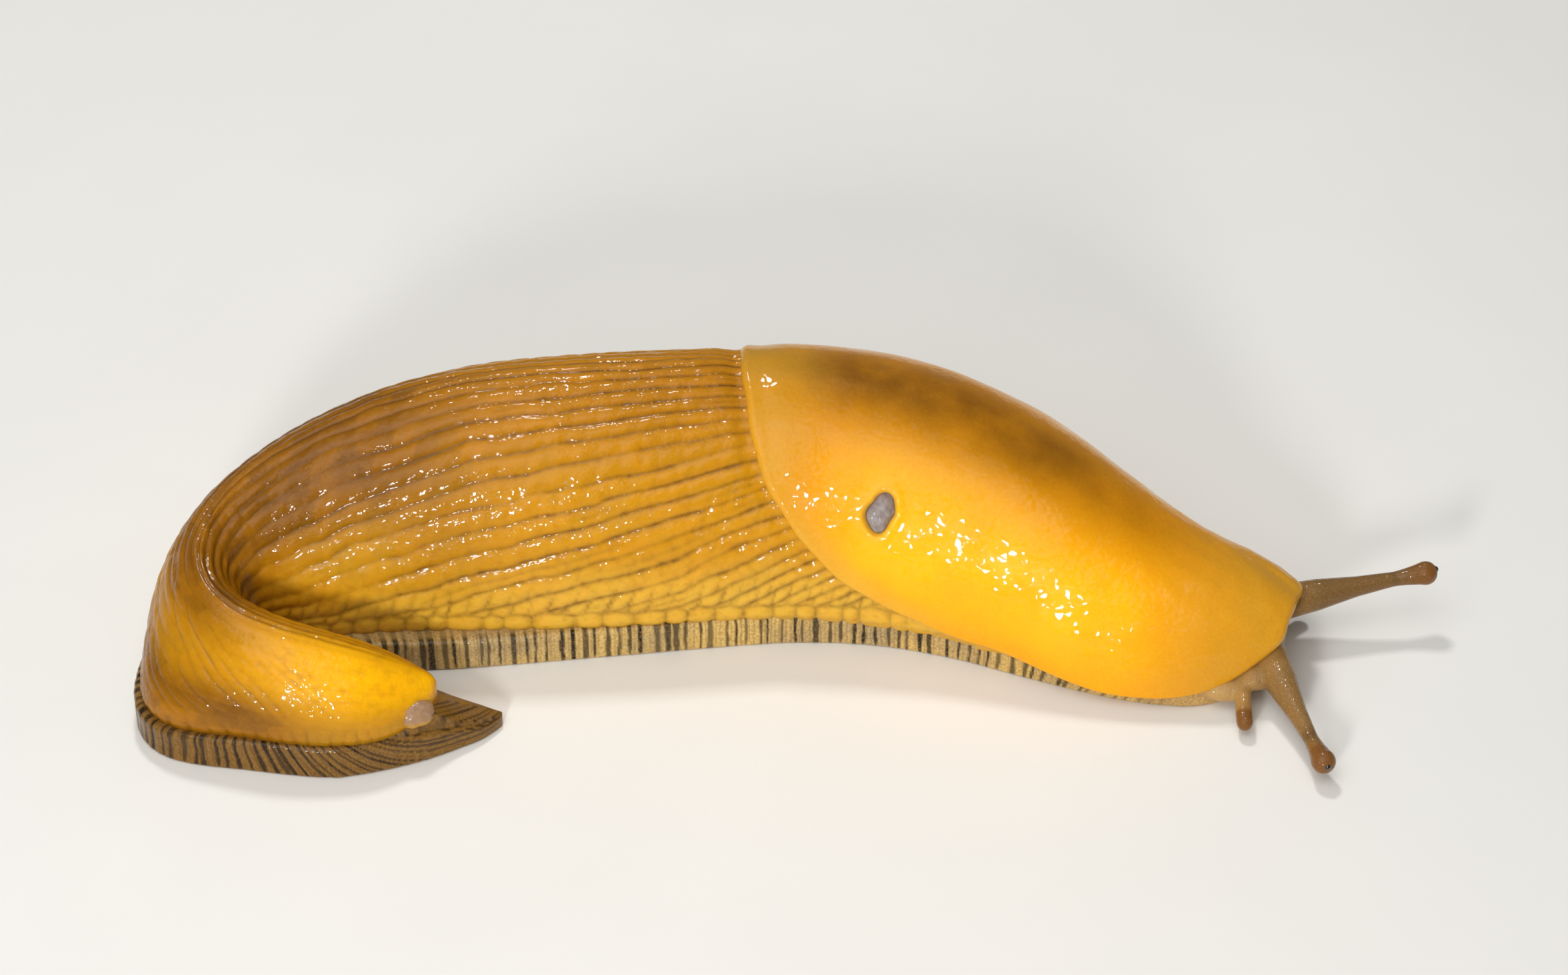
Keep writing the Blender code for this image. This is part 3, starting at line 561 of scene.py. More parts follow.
def ellipsoid(name, centre, radii, heading, segments=48):
    """A round form in millimetres, turned about the vertical."""
    shape = bmesh.new()
    place = Matrix.Translation(Vector(centre)) @ Matrix.Rotation(heading, 4, "Z")
    size = Matrix.Diagonal((*radii, 1))
    rings = {"u_segments": segments, "v_segments": segments // 2 + 2}
    bmesh.ops.create_uvsphere(shape, radius=1, matrix=place @ size, **rings)
    return mesh_of(name, shape)


def values_of(items, key, width=1, kind=np.int64):
    """One value, or a few, from each of a mesh's items."""
    values = np.empty(len(items) * width, kind)
    items.foreach_get(key, values)
    return values


def points_of(mesh):
    """A mesh's points as rows."""
    return values_of(mesh.vertices, "co", 3, float).reshape(-1, 3)


def move(mesh, points, by):
    """Moves a mesh's points."""
    mesh.vertices.foreach_set("co", (points + by).reshape(-1))


def settle(obj):
    """Applies the object's modifiers."""
    graph = bpy.context.evaluated_depsgraph_get()
    mesh = bpy.data.meshes.new_from_object(obj.evaluated_get(graph))
    obj.modifiers.clear()
    obj.data = mesh


def join(obj, operation, other):
    """Unites an object with another, or cuts it with it, and removes the other."""
    modifier = obj.modifiers.new(operation.title(), "BOOLEAN")
    modifier.operation = operation
    modifier.solver = "MANIFOLD"
    modifier.material_mode = "TRANSFER"
    modifier.object = other
    settle(obj)
    bpy.data.objects.remove(other)
    if not obj.data.polygons:
        raise RuntimeError(f"{operation} left nothing of {obj.name}")


def body_surface(sizes):
    """The furrowed body as one closed form, with its marks."""
    s = stations(BODY_FRONT, BODY_END - 0.04, BODY_STEP)[:, None]
    t = np.linspace(-1, 1, BODY_ROUND + 1)[None, :]
    dome = body_point(s, t)
    arc = totals(np.linalg.norm(np.diff(dome, axis=1), axis=2))
    around = arc - arc[:, [BODY_ROUND // 2]]
    s, t = np.broadcast_arrays(s, t)
    spacing, line = sizes.furrow_spacing / MM, sizes.furrow_line / MM
    valley, dark, tone = furrow_marks(s, t, around, spacing, line)
    rim = beyond_rim(s, t)
    gutter = near(rim - 0.5, 0.9) * (s > MANTLE_CENTRE)
    lumps = 0.5 + 0.5 * ripple(s / 6, around / 5, 15)
    lumps = 0.12 * lumps * (1 - past(np.abs(t), 0.85, 0.15))
    depth = sizes.furrow_depth / MM * valley + 0.22 * gutter + lumps
    top = raised(s, t, -depth)

    step = np.array([1, 0.5, 0, -0.5, -1])
    right, left = top[:, 0], top[:, -1]
    share = (1 + step[None, :, None]) / 2
    under = left[:, None] * share + right[:, None] * (1 - share)
    middle = np.stack(across(s[:, 0], 0.0), -1)[:, None]
    under[..., :2] = middle + (under[..., :2] - middle) * 0.93
    under[..., 2] -= 1.2
    rings = np.concatenate([top, under], axis=1)

    # The crest is drawn a browner gold: partly the skin's own brown, partly painted shade on the top,
    # little of it on the tail
    shade = 1 - past(np.abs(t + 0.06), 0.02, 0.62)
    # Dusk: darker brown towards the rear of the back, and painted shade on the tail's outer side and
    # low on its left flank
    rear = between(s, 72, 98, 112, 124)
    dusk = 1.3 * rear * (1 - past(np.abs(t + 0.15), 0.25, 0.6))
    shade = shade * (1 - 0.7 * past(s, 110, 8) * past(t, -0.1, 0.25))
    outer = between(s, 105, 112, 118, 128) * past(t, 0.42, 0.35)
    dusk = np.clip(dusk + outer + 0.5 * past(s, 112, 8) * past(t, 0.5, 0.4), 0, 1)
    pale = past(np.abs(t), 0.70, 0.22) * (1 - 0.75 * past(s, 100, 14))
    # Painted shade: a dark line along the flank's foot, where the body meets the fringe
    foot_shade_line = near((1 - np.abs(t)) * GIRTH, 0.35)
    # Painted light: in the fold that the tail shades, the trunk is drawn paler, with less furrow
    # brown and less dusk
    fold_painted_light = between(s, 82, 94, 105, 111) * past(-t, 0.35, 0.3)
    dark, dusk = dark * (1 - 0.4 * fold_painted_light), dusk * (1 - 0.8 * fold_painted_light)
    pale = np.maximum(pale, 0.35 * fold_painted_light)
    wet = 0.3 + 0.6 * past(ripple(s / 3, around / 2, 71), -0.3, 0.4)
    marks = {
        "furrow": np.maximum(dark, 0.3 * foot_shade_line),
        "crest": shade,
        "pale": pale,
        "tone": tone,
        "dusk": dusk,
        "bright": past(s, 118, 12) * near(t - 0.3, 0.38),
        # Painted shade in the bend's inner crease, drawn in the crest's brown
        "crease": between(s, 100, 106, 116, 128) * past(-t, 0.25, 0.3),
        "wet": glint_marks(s, t, BACK_GLINTS, wet),
    }
    spare = np.zeros((len(s), len(step)))
    for name, values in marks.items():
        marks[name] = np.concatenate([values, spare], axis=1).reshape(-1)
    return loft("body", rings), marks


def gland_mound(s, offset):
    """The soft swelling of the foot's upper face that carries the slime gland."""
    return MOUND_HEIGHT * near(np.hypot(s - MOUND_AT, offset - MOUND_ASIDE), MOUND_SPREAD)


def foot_surface(sizes):
    """The foot as one closed form with a flat sole, its fringe striped and lightly pleated."""
    s = stations(FOOT_FRONT + 0.05, TIP_END - 0.03, FOOT_STEP)[:, None]
    chin = CHIN_DROP * (1 - smooth(s / CHIN_REAR))
    turn = np.linspace(0, math.pi / 2, 5)[None]
    wall = np.linspace(0, 1, 12)[None, 1:-1]
    gap = sizes.stripe_spacing / MM
    head_fade = past(s, 7, 8)
    tail = past(s, 116, 14)
    at_tip = past(s, 132, 4)
    sides = []
    for side in (-1, 1):
        half = foot_half(s, side)
        top = foot_top(s, side * half) - chin
        low = np.minimum(0.4, 0.25 * half)
        high = np.minimum(np.minimum(0.55, 0.3 * half), 0.4 * top)
        base = np.minimum(low, 0.4 * top)
        offset = [
            (half - low) * np.linspace(0.2, 0.8, 3)[None],
            half - low + low * np.sin(turn),
            half + 0 * wall,
            half - high + high * np.cos(turn),
            (half - high) * TOP_SHARES[None],
        ]
        ridge = side * offset[-1]
        height = [
            0 * half * np.ones((1, 3)),
            base - base * np.cos(turn),
            base + (top - high - base) * wall,
            top - high + high * np.sin(turn),
            foot_top(s, ridge) + gland_mound(s, ridge) - chin,
        ]
        offset = np.concatenate(offset, axis=1)
        height = np.concatenate(height, axis=1)
        x, y = across(s, side * half)
        run = totals(np.hypot(np.diff(x[:, 0]), np.diff(y[:, 0])))[:, None]
        rise = np.clip(height / np.maximum(top, 0.1), 0, 1)
        inward = np.maximum(half - high - offset, 0) * (rise > 0.5)
        if side > 0:
            upright = 1 - 0.96 * past(s, 127, 12)
            lean = (np.maximum(half - offset, 0) + height) / TIP_GAP * past(s, 117, 17)
            to_midline = smooth((offset + 1.4 * at_tip) / 2.5)
        else:
            upright = np.ones_like(s)
            lean = HOOD_LEAN * (1 - past(s, 13, 12)) * rise
            to_midline = 1 - smooth(inward / 0.8) * tail
        steps = np.diff(run, axis=0) / gap * upright[1:]
        phase = totals(steps[:, 0])[:, None] + 40 * side + lean
        width = sizes.stripe_width / MM * (1 + 0.15 * past(s, 98, 12) - 0.1 * past(s, 126, 8))
        on_top = smooth(inward / 0.7) * (1 - tail)
        dark = stripe_marks(phase, rise, gap, width) * head_fade * (1 - 0.6 * on_top) * to_midline
        wall_share = np.sin(rise * math.pi) ** 0.5 * (inward == 0) * np.clip(half / 3, 0, 1)
        pleat = 0.05 * ripple(run / 0.55, side * 9, 33) - 0.06 * dark * (1 - tail)
        swell = 0.1 * ripple(run / 4.5, side * 5, 34)
        offset = offset + (pleat + swell - 0.1) * wall_share
        wedge = 1 - past(offset, 0.4, 1.6) if side > 0 else smooth(inward / 1.2)
        x, y = across(s, side * offset)
        whole = np.ones_like(rise)
        marks = {
            "stripe": dark,
            "tail_tip": past(s, 104, 12) * whole,
            "wedge": wedge * at_tip * (1 - past(s, 139.5, 3)),
            "wet": 0.5 * whole,
            "head_end": (1 - head_fade) * whole,
        }
        sides.append((np.stack([x, y, height], -1), marks))
    x, y = across(s, 0.0)
    crown = np.stack([x, y, foot_top(s, 0 * s) + gland_mound(s, 0.0) - chin], -1)
    sole = np.stack([x, y, 0 * s], -1)
    rings = np.concatenate([sole, sides[0][0], crown, sides[1][0][:, ::-1]], axis=1)
    marks = {}
    for name, right in sides[0][1].items():
        left = sides[1][1][name][:, ::-1]
        marks[name] = np.concatenate([right[:, :1], right, right[:, -1:], left], axis=1).reshape(-1)
    return loft("foot", rings), marks


def mantle_rim():
    """The mantle's edge as (distance behind the nose, place round the back), closest in front."""
    angle = np.linspace(0, math.pi / 2, 900)
    rear_s = MANTLE_CENTRE + (MANTLE_REAR - MANTLE_CENTRE) * np.cos(angle) ** (2 / REAR_CURVE)
    rear_t = np.sin(angle) ** (2 / SIDE_CURVE)
    front_s = MANTLE_CENTRE - (MANTLE_CENTRE - MANTLE_FRONT) * np.sin(angle) ** (2 / FRONT_CURVE)
    front_t = np.cos(angle)
    s = np.concatenate([rear_s, front_s[1:]])
    t = -np.concatenate([rear_t, front_t[1:]])
    step = np.linalg.norm(np.diff(body_point(s, t), axis=0), axis=1)
    step *= 1 + 1.6 * near(s[1:], 6)
    length = totals(step)
    even = np.linspace(0, length[-1], RIM_POINTS // 2 + 1)
    s = np.interp(even, length, s)
    t = np.interp(even, length, t)
    s = np.concatenate([s, s[-2:0:-1]])
    t = np.concatenate([t, -t[-2:0:-1]])
    turn = np.linspace(0, 2 * math.pi, len(s), endpoint=False)
    wave = 0.004 * np.sin(7 * turn + 1) + 0.003 * np.sin(13 * turn + 2) + 0.002 * np.sin(29 * turn)
    wave = wave * past(s, 20, 15)
    return MANTLE_CENTRE + (s - MANTLE_CENTRE) * (1 + wave), t * (1 + wave * (np.abs(t) < 0.97))


def skirt(s, t):
    """How the mantle's edge hangs clear of the dome, over the head and the front of the fringe."""
    front = 1 - smooth(2 * s / SKIRT_REAR - 1)
    corner = near(np.abs(t) - CORNER_ROUND, 0.2) * (1 - past(s, 3, 7))
    ahead = SKIRT_AHEAD * (1 - past(s, 2, 8)) * (1 + SKIRT_CORNER * corner)
    out = SKIRT_OUT * past(s, 2, 9) * front * np.sign(t)
    down = SKIRT_DOWN * np.abs(t) ** 1.5 * front
    down = np.where(t > 0, down * past(s, 3, 7) - SKIRT_ARCH * corner, down)
    course = np.interp(s, MIDLINE[0], MIDLINE[1])
    x = -np.cos(course) * ahead + np.sin(course) * out
    y = -np.sin(course) * ahead - np.cos(course) * out
    return np.stack([x, y, -down], -1)


def lung_frame():
    """The lung opening's middle, and its directions out of the skin, forward and up."""
    out = body_normal(LUNG_AT, LUNG_ROUND)
    up = body_point(LUNG_AT, LUNG_ROUND + 0.01) - body_point(LUNG_AT, LUNG_ROUND - 0.01)
    up /= np.linalg.norm(up)
    return body_point(LUNG_AT, LUNG_ROUND), out, np.cross(up, out), up


def lung_distance(points):
    """How far points lie from the lung's middle, in shares of its outline, and their turn."""
    middle, _, forward, up = lung_frame()
    ahead, above = (points - middle) @ forward, (points - middle) @ up
    turn = np.degrees(np.arctan2(above, ahead)) % 360
    return np.hypot(ahead, above) / spline(turn, LUNG_TURN, LUNG_REACH), turn


def mantle_surface():
    """The mantle as a closed shell with a thick, rounded rim, and its marks."""
    rim_s, rim_t = mantle_rim()
    hang = skirt(rim_s, rim_t)
    shares = [np.linspace(0.012, 0.93, 74), np.linspace(0.93, RIM_ROUND, 10)[1:]]
    shares = np.concatenate([*shares, np.linspace(RIM_ROUND, 1, 9)[1:]])
    within = np.clip((shares - RIM_ROUND) / (1 - RIM_ROUND), 0, 1)
    lifts = RIM_LOW + (MANTLE_LIFT - RIM_LOW) * np.sqrt(1 - within**2)
    below_shares = np.concatenate([np.linspace(0.05, 0.9, 20), np.linspace(0.9, 1, 9)[1:]])
    below_lifts = np.interp(below_shares, UNDER_AT, MANTLE_UNDER)
    grids = []
    for ring_shares, ring_lifts in ((shares, lifts), (below_shares, below_lifts)):
        share = ring_shares[:, None]
        s = MANTLE_CENTRE + share * (rim_s - MANTLE_CENTRE)[None]
        t = share * rim_t[None]
        hung = hang[None] * past(share, 0.6, 0.4)[..., None]
        grids.append((s, t, raised(s, t, ring_lifts[:, None]) + hung))
    s, t, top = grids[0]
    lung, lung_turn = lung_distance(top)
    inside = 1 - past(shares[:, None], 0.93, 0.05)
    wave = 0.09 * ripple(s / 7, t * 5, 41) + 0.05 * ripple(s / 2.6, t * 12, 42)
    wrinkle = 0.045 * ripple(s / 0.9, t * 9, 43) * (1 - past(s, 5, 12))
    lip = 0.13 * near(lung - 1.35, 0.28) - 0.12 * (1 - past(lung, 0.8, 0.35))
    thinner = 0.22 * past(shares[:, None], 0.86, 0.12) * past(s, 20, 14)
    lift = (wave - 0.09 + wrinkle + lip) * inside - thinner
    top = top + body_normal(s, t) * lift[..., None]
    under = grids[1][2]

    around = RIM_POINTS
    middles = [top[0].mean(axis=0), under[0].mean(axis=0)]
    points = np.concatenate([top.reshape(-1, 3), under.reshape(-1, 3), middles])
    start = len(shares) * around
    faces = ring_faces(len(shares), around)
    faces += (np.array(ring_faces(len(below_shares), around)) + start).tolist()
    top_rim = start - around
    under_rim = start + (len(below_shares) - 1) * around
    for j in range(around):
        k = (j + 1) % around
        faces.append([top_rim + j, top_rim + k, under_rim + k, under_rim + j])
        faces.append([len(points) - 2, j, k])
        faces.append([len(points) - 1, start + j, start + k])

    to_rim = np.linalg.norm(top - top[[-1]], axis=2)
    rear = past(s, 24, 16)
    thin_edge = (1 - past(to_rim, 0.4, 3.2)) * rear
    ring_width = 0.75 + 0.55 * np.cos(np.radians(lung_turn - 165))
    ring = 0.8 * (1 - past(lung, 1.0, ring_width))
    front = 1 - past(s, 4, 11)
    front = np.maximum(front, 0.8 * past(s, 44, 8) * (1 - past(np.abs(t), 0.4, 0.3)))
    # The crest is drawn a browner gold: partly the skin's own brown, partly painted shade on the top,
    # less of it at the front
    shade = 1 - smooth(np.abs(t + 0.03) / 0.43)
    thin_edge = thin_edge * (0.2 + 0.8 * past(np.abs(t), 0.3, 0.4))
    marks = {
        "crest": shade * (1 - 0.75 * (1 - past(s, 8, 18))),
        "pale": np.clip(thin_edge + ring, 0, 1),
        "front": front,
        "bright": near(np.abs(t) - 0.66, 0.33) * between(s, 6, 16, 38, 52),
        "wet": glint_marks(s, t, MANTLE_GLINTS, 0.35 + 0.2 * past(np.abs(t), 0.3, 0.2)),
    }
    below = np.full(under.shape[0] * around, UNDER_MARK)
    for name, values in marks.items():
        marks[name] = np.concatenate([values.reshape(-1), below, [values[0, 0], UNDER_MARK]])
    return mesh_from("mantle", points, faces), marks


def head_place(ahead, left, height):
    """A point placed from the nose by the head's own directions."""
    heading = MIDLINE[1][0] + math.pi
    x = NOSE_X + ahead * math.cos(heading) - left * math.sin(heading)
    y = NOSE_Y + ahead * math.sin(heading) + left * math.cos(heading)
    return np.array([x, y, height])


def stalk(name, root, tip, radii, end_radius, droop):
    """A tapering tentacle with a round end, its middle sagging by a droop."""
    length = np.linalg.norm(tip - root)
    along = (tip - root) / length
    side = np.cross(along, [0, 0, 1])
    side /= np.linalg.norm(side)
    up = np.cross(side, along)
    stem = np.linspace(0, length - end_radius, 60)
    knob = length - end_radius * np.cos(np.linspace(0, math.pi, 26))[1:-1]
    steps = np.concatenate([stem, knob])
    share = steps / length
    ball = end_radius * np.sqrt(np.clip(1 - ((steps - length) / end_radius) ** 2, 0, 1))
    thick = np.maximum(ball, np.where(steps <= length, radii(share), 0))
    sag = droop * np.sin(math.pi * np.clip(share, 0, 1))
    middle = root + along * steps[:, None] - np.array([0, 0, 1]) * sag[:, None]
    angle = np.linspace(0, 2 * math.pi, 40, endpoint=False)
    spokes = side * np.cos(angle)[:, None] + up * np.sin(angle)[:, None]
    return loft(name, middle[:, None] + spokes[None] * thick[:, None, None])


def upper_radii(share):
    """Radius along an upper tentacle, a stalk that tapers fast and then swells to its knob."""
    return np.interp(share, UPPER_AT, UPPER_RADII)


def lower_radii(share):
    """Radius along a lower tentacle, a blunt peg."""
    return LOWER_RADIUS * (1.12 - 0.12 * smooth(share / 0.6))


TENTACLES = (
    (UPPER_ROOT_RIGHT, UPPER_TIP_RIGHT, upper_radii, KNOB_RADIUS, 0.3),
    (UPPER_ROOT_LEFT, UPPER_TIP_LEFT, upper_radii, KNOB_RADIUS, -0.1),
    (LOWER_ROOT_RIGHT, LOWER_TIP_RIGHT, lower_radii, LOWER_RADIUS, 0.0),
    (LOWER_ROOT_LEFT, LOWER_TIP_LEFT, lower_radii, LOWER_RADIUS, 0.0),
)


def remesh(obj):
    """Adds a remesh that runs an object's surfaces into one."""
    blend = obj.modifiers.new("Blend", "REMESH")
    blend.mode = "VOXEL"
    blend.voxel_size = HEAD_GRAIN


def head_surface():
    """Head, lips and tentacles, blended into one soft form, with the slit of the mouth."""
    heading = MIDLINE[1][0] + math.pi
    lumps = [SKULL, SNOUT, WEB, LIP, ((LIP[0][0], -LIP[0][1], LIP[0][2]), LIP[1])]
    for root in (UPPER_ROOT_RIGHT, UPPER_ROOT_LEFT):
        lumps.append((root, (CHEEK_RADIUS,) * 3))
    whole = bmesh.new()
    for centre, radii in lumps:
        whole.from_mesh(ellipsoid("lump", head_place(*centre), radii, heading, 64))
    for root, tip, radii, end_radius, droop in TENTACLES:
        root, tip = head_place(*root), head_place(*tip)
        whole.from_mesh(stalk("stalk", root, tip, radii, end_radius, droop))
    head = new_object("head_form", mesh_of("head", whole))
    remesh(head)
    settle(head)
    mouth = ellipsoid("mouth", head_place(*MOUTH[0]), MOUTH[1], heading)
    join(head, "DIFFERENCE", new_object("mouth", mouth))
    remesh(head)
    soften = head.modifiers.new("Soften", "SMOOTH")
    soften.factor = 0.5
    soften.iterations = 5
    settle(head)

    points = points_of(head.data)
    tip_warmth, dusk, on_stalk, lip_pale = np.zeros((4, len(points)))
    for root, tip, _, end_radius, _ in TENTACLES:
        shaded = root[1] > 0
        root, tip = head_place(*root), head_place(*tip)
        length = np.linalg.norm(tip - root)
        along = (tip - root) / length
        forward = (points - root) @ along
        share = forward / length
        aside = np.linalg.norm(points - root - along * forward[:, None], axis=1)
        own = (aside < STALK_REACH) * past(share, 0.05, 0.3)
        upper = end_radius > 1
        warm_from = 0.83 if upper else 0.76
        tip_warmth = np.maximum(tip_warmth, own * past(share, warm_from, 0.12))
        if upper:
            # A dusky band before each knob, and painted shade over the whole far tentacle
            dusk = np.maximum(dusk, own * np.maximum(near(share - 0.8, 0.06), 0.75 * shaded))
        on_stalk = np.maximum(on_stalk, own * (1.0 if upper else 0.4))
    for left in (LIP[0][1], -LIP[0][1]):
        middle = head_place(LIP[0][0], left, LIP[0][2])
        lip_pale = np.maximum(lip_pale, near(np.linalg.norm(points - middle, axis=1), 2.6))
    marks = {"tip": tip_warmth, "dusk": dusk, "stalk": on_stalk, "pale": lip_pale}
    return head, {**marks, "wet": np.ones(len(points))}


def lung_plug(name, profile):
    """An uneven oval plug at the lung's opening, from (size, lift) pairs."""
    middle, out, forward, up = lung_frame()
    turn = np.linspace(0, 360, 96, endpoint=False)[:, None]
    reach = spline(turn, LUNG_TURN, LUNG_REACH)
    outline = (forward * np.cos(np.radians(turn)) + up * np.sin(np.radians(turn))) * reach
    return loft(name, np.array([middle + outline * size + out * lift for size, lift in profile]))


def nearest_marks(mesh, sources):
    """Gives each face corner the marks of the nearest point of the form that its face came from."""
    vertex = values_of(mesh.loops, "vertex_index")
    form = values_of(mesh.polygons, "material_index")
    form = np.repeat(form, values_of(mesh.polygons, "loop_total"))
    points = points_of(mesh)
    names = sorted({name for _, marks in sources for name in marks})
    values = {name: np.zeros(len(vertex), np.float32) for name in names}
    for index, (own, marks) in enumerate(sources):
        tree = KDTree(len(own))
        for i, point in enumerate(own):
            tree.insert(point, i)
        tree.balance()
        chosen = form == index
        wanted, back = np.unique(vertex[chosen], return_inverse=True)
        found = np.array([tree.find(point)[1] for point in points[wanted]])
        for name, mark in marks.items():
            padded = np.concatenate([mark, np.zeros(max(0, len(own) - len(mark)))])
            values[name][chosen] = padded[found][back]
    for name, value in values.items():
        mesh.attributes.new(name, "FLOAT", "CORNER").data.foreach_set("value", value)


def to_metres(obj):
    """Brings an object's mesh to metres and shades it."""
    obj.data.transform(Matrix.Scale(MM, 4))
    obj.data.shade_smooth()
    obj.data.set_sharp_from_angle(angle=SHARP_FROM)


def fill(tree, node, inputs):
    """Fills a node's inputs with values or with other nodes' outputs."""
    for key, value in inputs.items():
        if isinstance(value, bpy.types.NodeSocket):
            tree.links.new(value, node.inputs[key])
        else:
            node.inputs[key].default_value = value


def add(tree, kind, inputs=None, **settings):
    """Adds a node with its settings and links."""
    node = tree.nodes.new(kind)
    for key, value in settings.items():
        setattr(node, key, value)
    fill(tree, node, inputs or {})
    return node


def new_material(name):
    """A material, its tree, its shader, and the place in metres that its patterns follow."""
    material = bpy.data.materials.new(name)
    material.use_nodes = True
    tree = material.node_tree
    place = add(tree, "ShaderNodeTexCoord").outputs["Object"]
    return material, tree, tree.nodes["Principled BSDF"], place


def layered(tree, colours, place, ground, layers):
    """Lays colours over a ground, each where its source, scaled and shifted, is strong.

    A source is a mark's name, a noise as (grain in millimetres, detail), or a node's output.
    """
    colour = (*getattr(colours, ground), 1.0)
    for source, gain, shift, above, *mode in layers:
        if isinstance(source, str):
            source = add(tree, "ShaderNodeAttribute", attribute_name=source).outputs["Fac"]
        elif isinstance(source, tuple):
            noise = {"Vector": place, "Scale": 1 / (source[0] * MM), "Detail": source[1]}
            source = add(tree, "ShaderNodeTexNoise", noise).outputs["Fac"]
        if isinstance(above, str):
            above = (*getattr(colours, above), 1.0)
        share = {0: source, 1: gain, 2: shift}
        share = add(tree, "ShaderNodeMath", share, operation="MULTIPLY_ADD", use_clamp=True)
        mixed = {0: share.outputs[0], 6: colour, 7: above}
        blend = mode[0] if mode else "MIX"
        colour = add(tree, "ShaderNodeMix", mixed, data_type="RGBA", blend_type=blend).outputs[2]
    return colour


def wet_surface(name, colours, marked=True):
    """A wet, translucent skin: fine grain, and over it a clear film of slime.

    The film is uneven where the skin is marked wet, or everywhere.
    """
    coloured, grain, relief, film, roughness, depth, radius = SURFACES[name]
    material, tree, shader, place = new_material(name)

    def lay(ground, layers):
        return layered(tree, colours, place, ground, layers)

    fine = {"Vector": place, "Scale": 1 / (grain * MM), "Detail": 3.0}
    fine = add(tree, "ShaderNodeTexNoise", fine).outputs["Fac"]
    pebble = {"Vector": place, "Scale": 1 / (COARSER * grain * MM), "Smoothness": 0.6}
    pebble = add(tree, "ShaderNodeTexVoronoi", pebble, feature="SMOOTH_F1").outputs["Distance"]
    height = add(tree, "ShaderNodeMath", {0: pebble, 1: fine}, operation="ADD").outputs[0]
    skin_bump = {"Strength": 1.0, "Distance": relief * MM, "Height": height}
    slime = {"Vector": place, "Scale": 1 / (COARSER * film * MM), "Detail": 1.5}
    slime = add(tree, "ShaderNodeTexNoise", slime).outputs["Fac"]
    facet = {"Vector": place, "Scale": 1 / (film * MM), "Randomness": 1.0}
    facet = add(tree, "ShaderNodeTexVoronoi", facet, feature="DISTANCE_TO_EDGE")
    thickness = {0: slime, 1: 1.6, 2: facet.outputs["Distance"]}
    thickness = add(tree, "ShaderNodeMath", thickness, operation="MULTIPLY_ADD").outputs[0]
    strength = 1.0
    if marked:
        strength = add(tree, "ShaderNodeAttribute", attribute_name="wet").outputs["Fac"]
    film_bump = {"Strength": strength, "Distance": FILM_RELIEF * film * MM, "Height": thickness}
    dull = {"Value": slime, "From Min": 0.3, "From Max": 0.7}
    dull |= {"To Min": roughness - 0.07, "To Max": roughness + 0.1}
    surface = {
        "Base Color": coloured(tree, place, fine, lay),
        "Roughness": add(tree, "ShaderNodeMapRange", dull).outputs[0],
        "Normal": add(tree, "ShaderNodeBump", skin_bump).outputs[0],
        "Coat Normal": add(tree, "ShaderNodeBump", film_bump).outputs[0],
        "IOR": FLESH_IOR,
        "Specular IOR Level": 0.12,
        "Coat Weight": FILM_WEIGHT,
        "Coat Roughness": FILM_ROUGHNESS,
        "Coat IOR": SLIME_IOR,
        "Subsurface Weight": depth,
        "Subsurface Radius": radius,
        "Subsurface Scale": MM,
    }
    fill(tree, shader, surface)
    return material


def mantle_colour(tree, place, fine, lay):
    """Living mantle skin, smooth and soaked: the yellow pigment glows, browner over the back, partly
    as painted shade.
    """
    layers = (
        ("bright", 1.0, 0.0, "mantle_yellow"),
        # Browner crest: the mantle's own brown and painted shade
        ("crest", 1.0, 0.0, "mantle_crest_brown_and_shade"),
        ("front", 0.8, 0.0, "mantle_front"),
        ("pale", 0.62, 0.0, "pale_rim"),
        ((4.5, 4.0), 0.9, -0.34, "mantle_mid"),
        (fine, 0.5, -0.18, "mantle_crest_brown_and_shade", "SOFT_LIGHT"),
    )
    return lay("mantle_mid", layers)


def back_colour(tree, place, fine, lay):
    """Living skin of the back: golden ridges with brown pigment and painted shade in the furrows
    between them.
    """
    fleck = {"Vector": place, "Scale": 1 / (0.9 * MM), "Detail": 5.0}
    fleck = add(tree, "ShaderNodeTexNoise", fleck).outputs["Fac"]
    broken = {0: fleck, 1: 1.3, 2: 0.05}
    broken = add(tree, "ShaderNodeMath", broken, operation="MULTIPLY_ADD").outputs[0]
    layers = (
        ("pale", 1.0, 0.0, "flank_pale"),
        # Browner crest: the back's own brown and painted shade
        ("crest", 1.0, 0.0, "back_crest_brown_and_shade"),
        ("bright", 0.9, 0.0, "mantle_yellow"),
        # Painted shade in the bend's inner crease
        ("crease", 0.45, 0.0, "back_crest_brown_and_shade"),
        # Darker brown at the rear, painted shade on the tail's outer side
        ("dusk", 0.92, 0.0, "back_dusk_brown_and_shade"),
        ("tone", 0.3, 0.0, "mantle_mid"),
        (fleck, 1.2, -0.58, "back_crest_brown_and_shade"),
        # Pigment in the furrows, with painted shade on their slopes and along the flank's foot
        ("furrow", broken, 0.0, "furrow_brown_and_shade"),
        (fine, 0.5, -0.18, "back_crest_brown_and_shade", "SOFT_LIGHT"),
    )
    return lay("back_gold", layers)


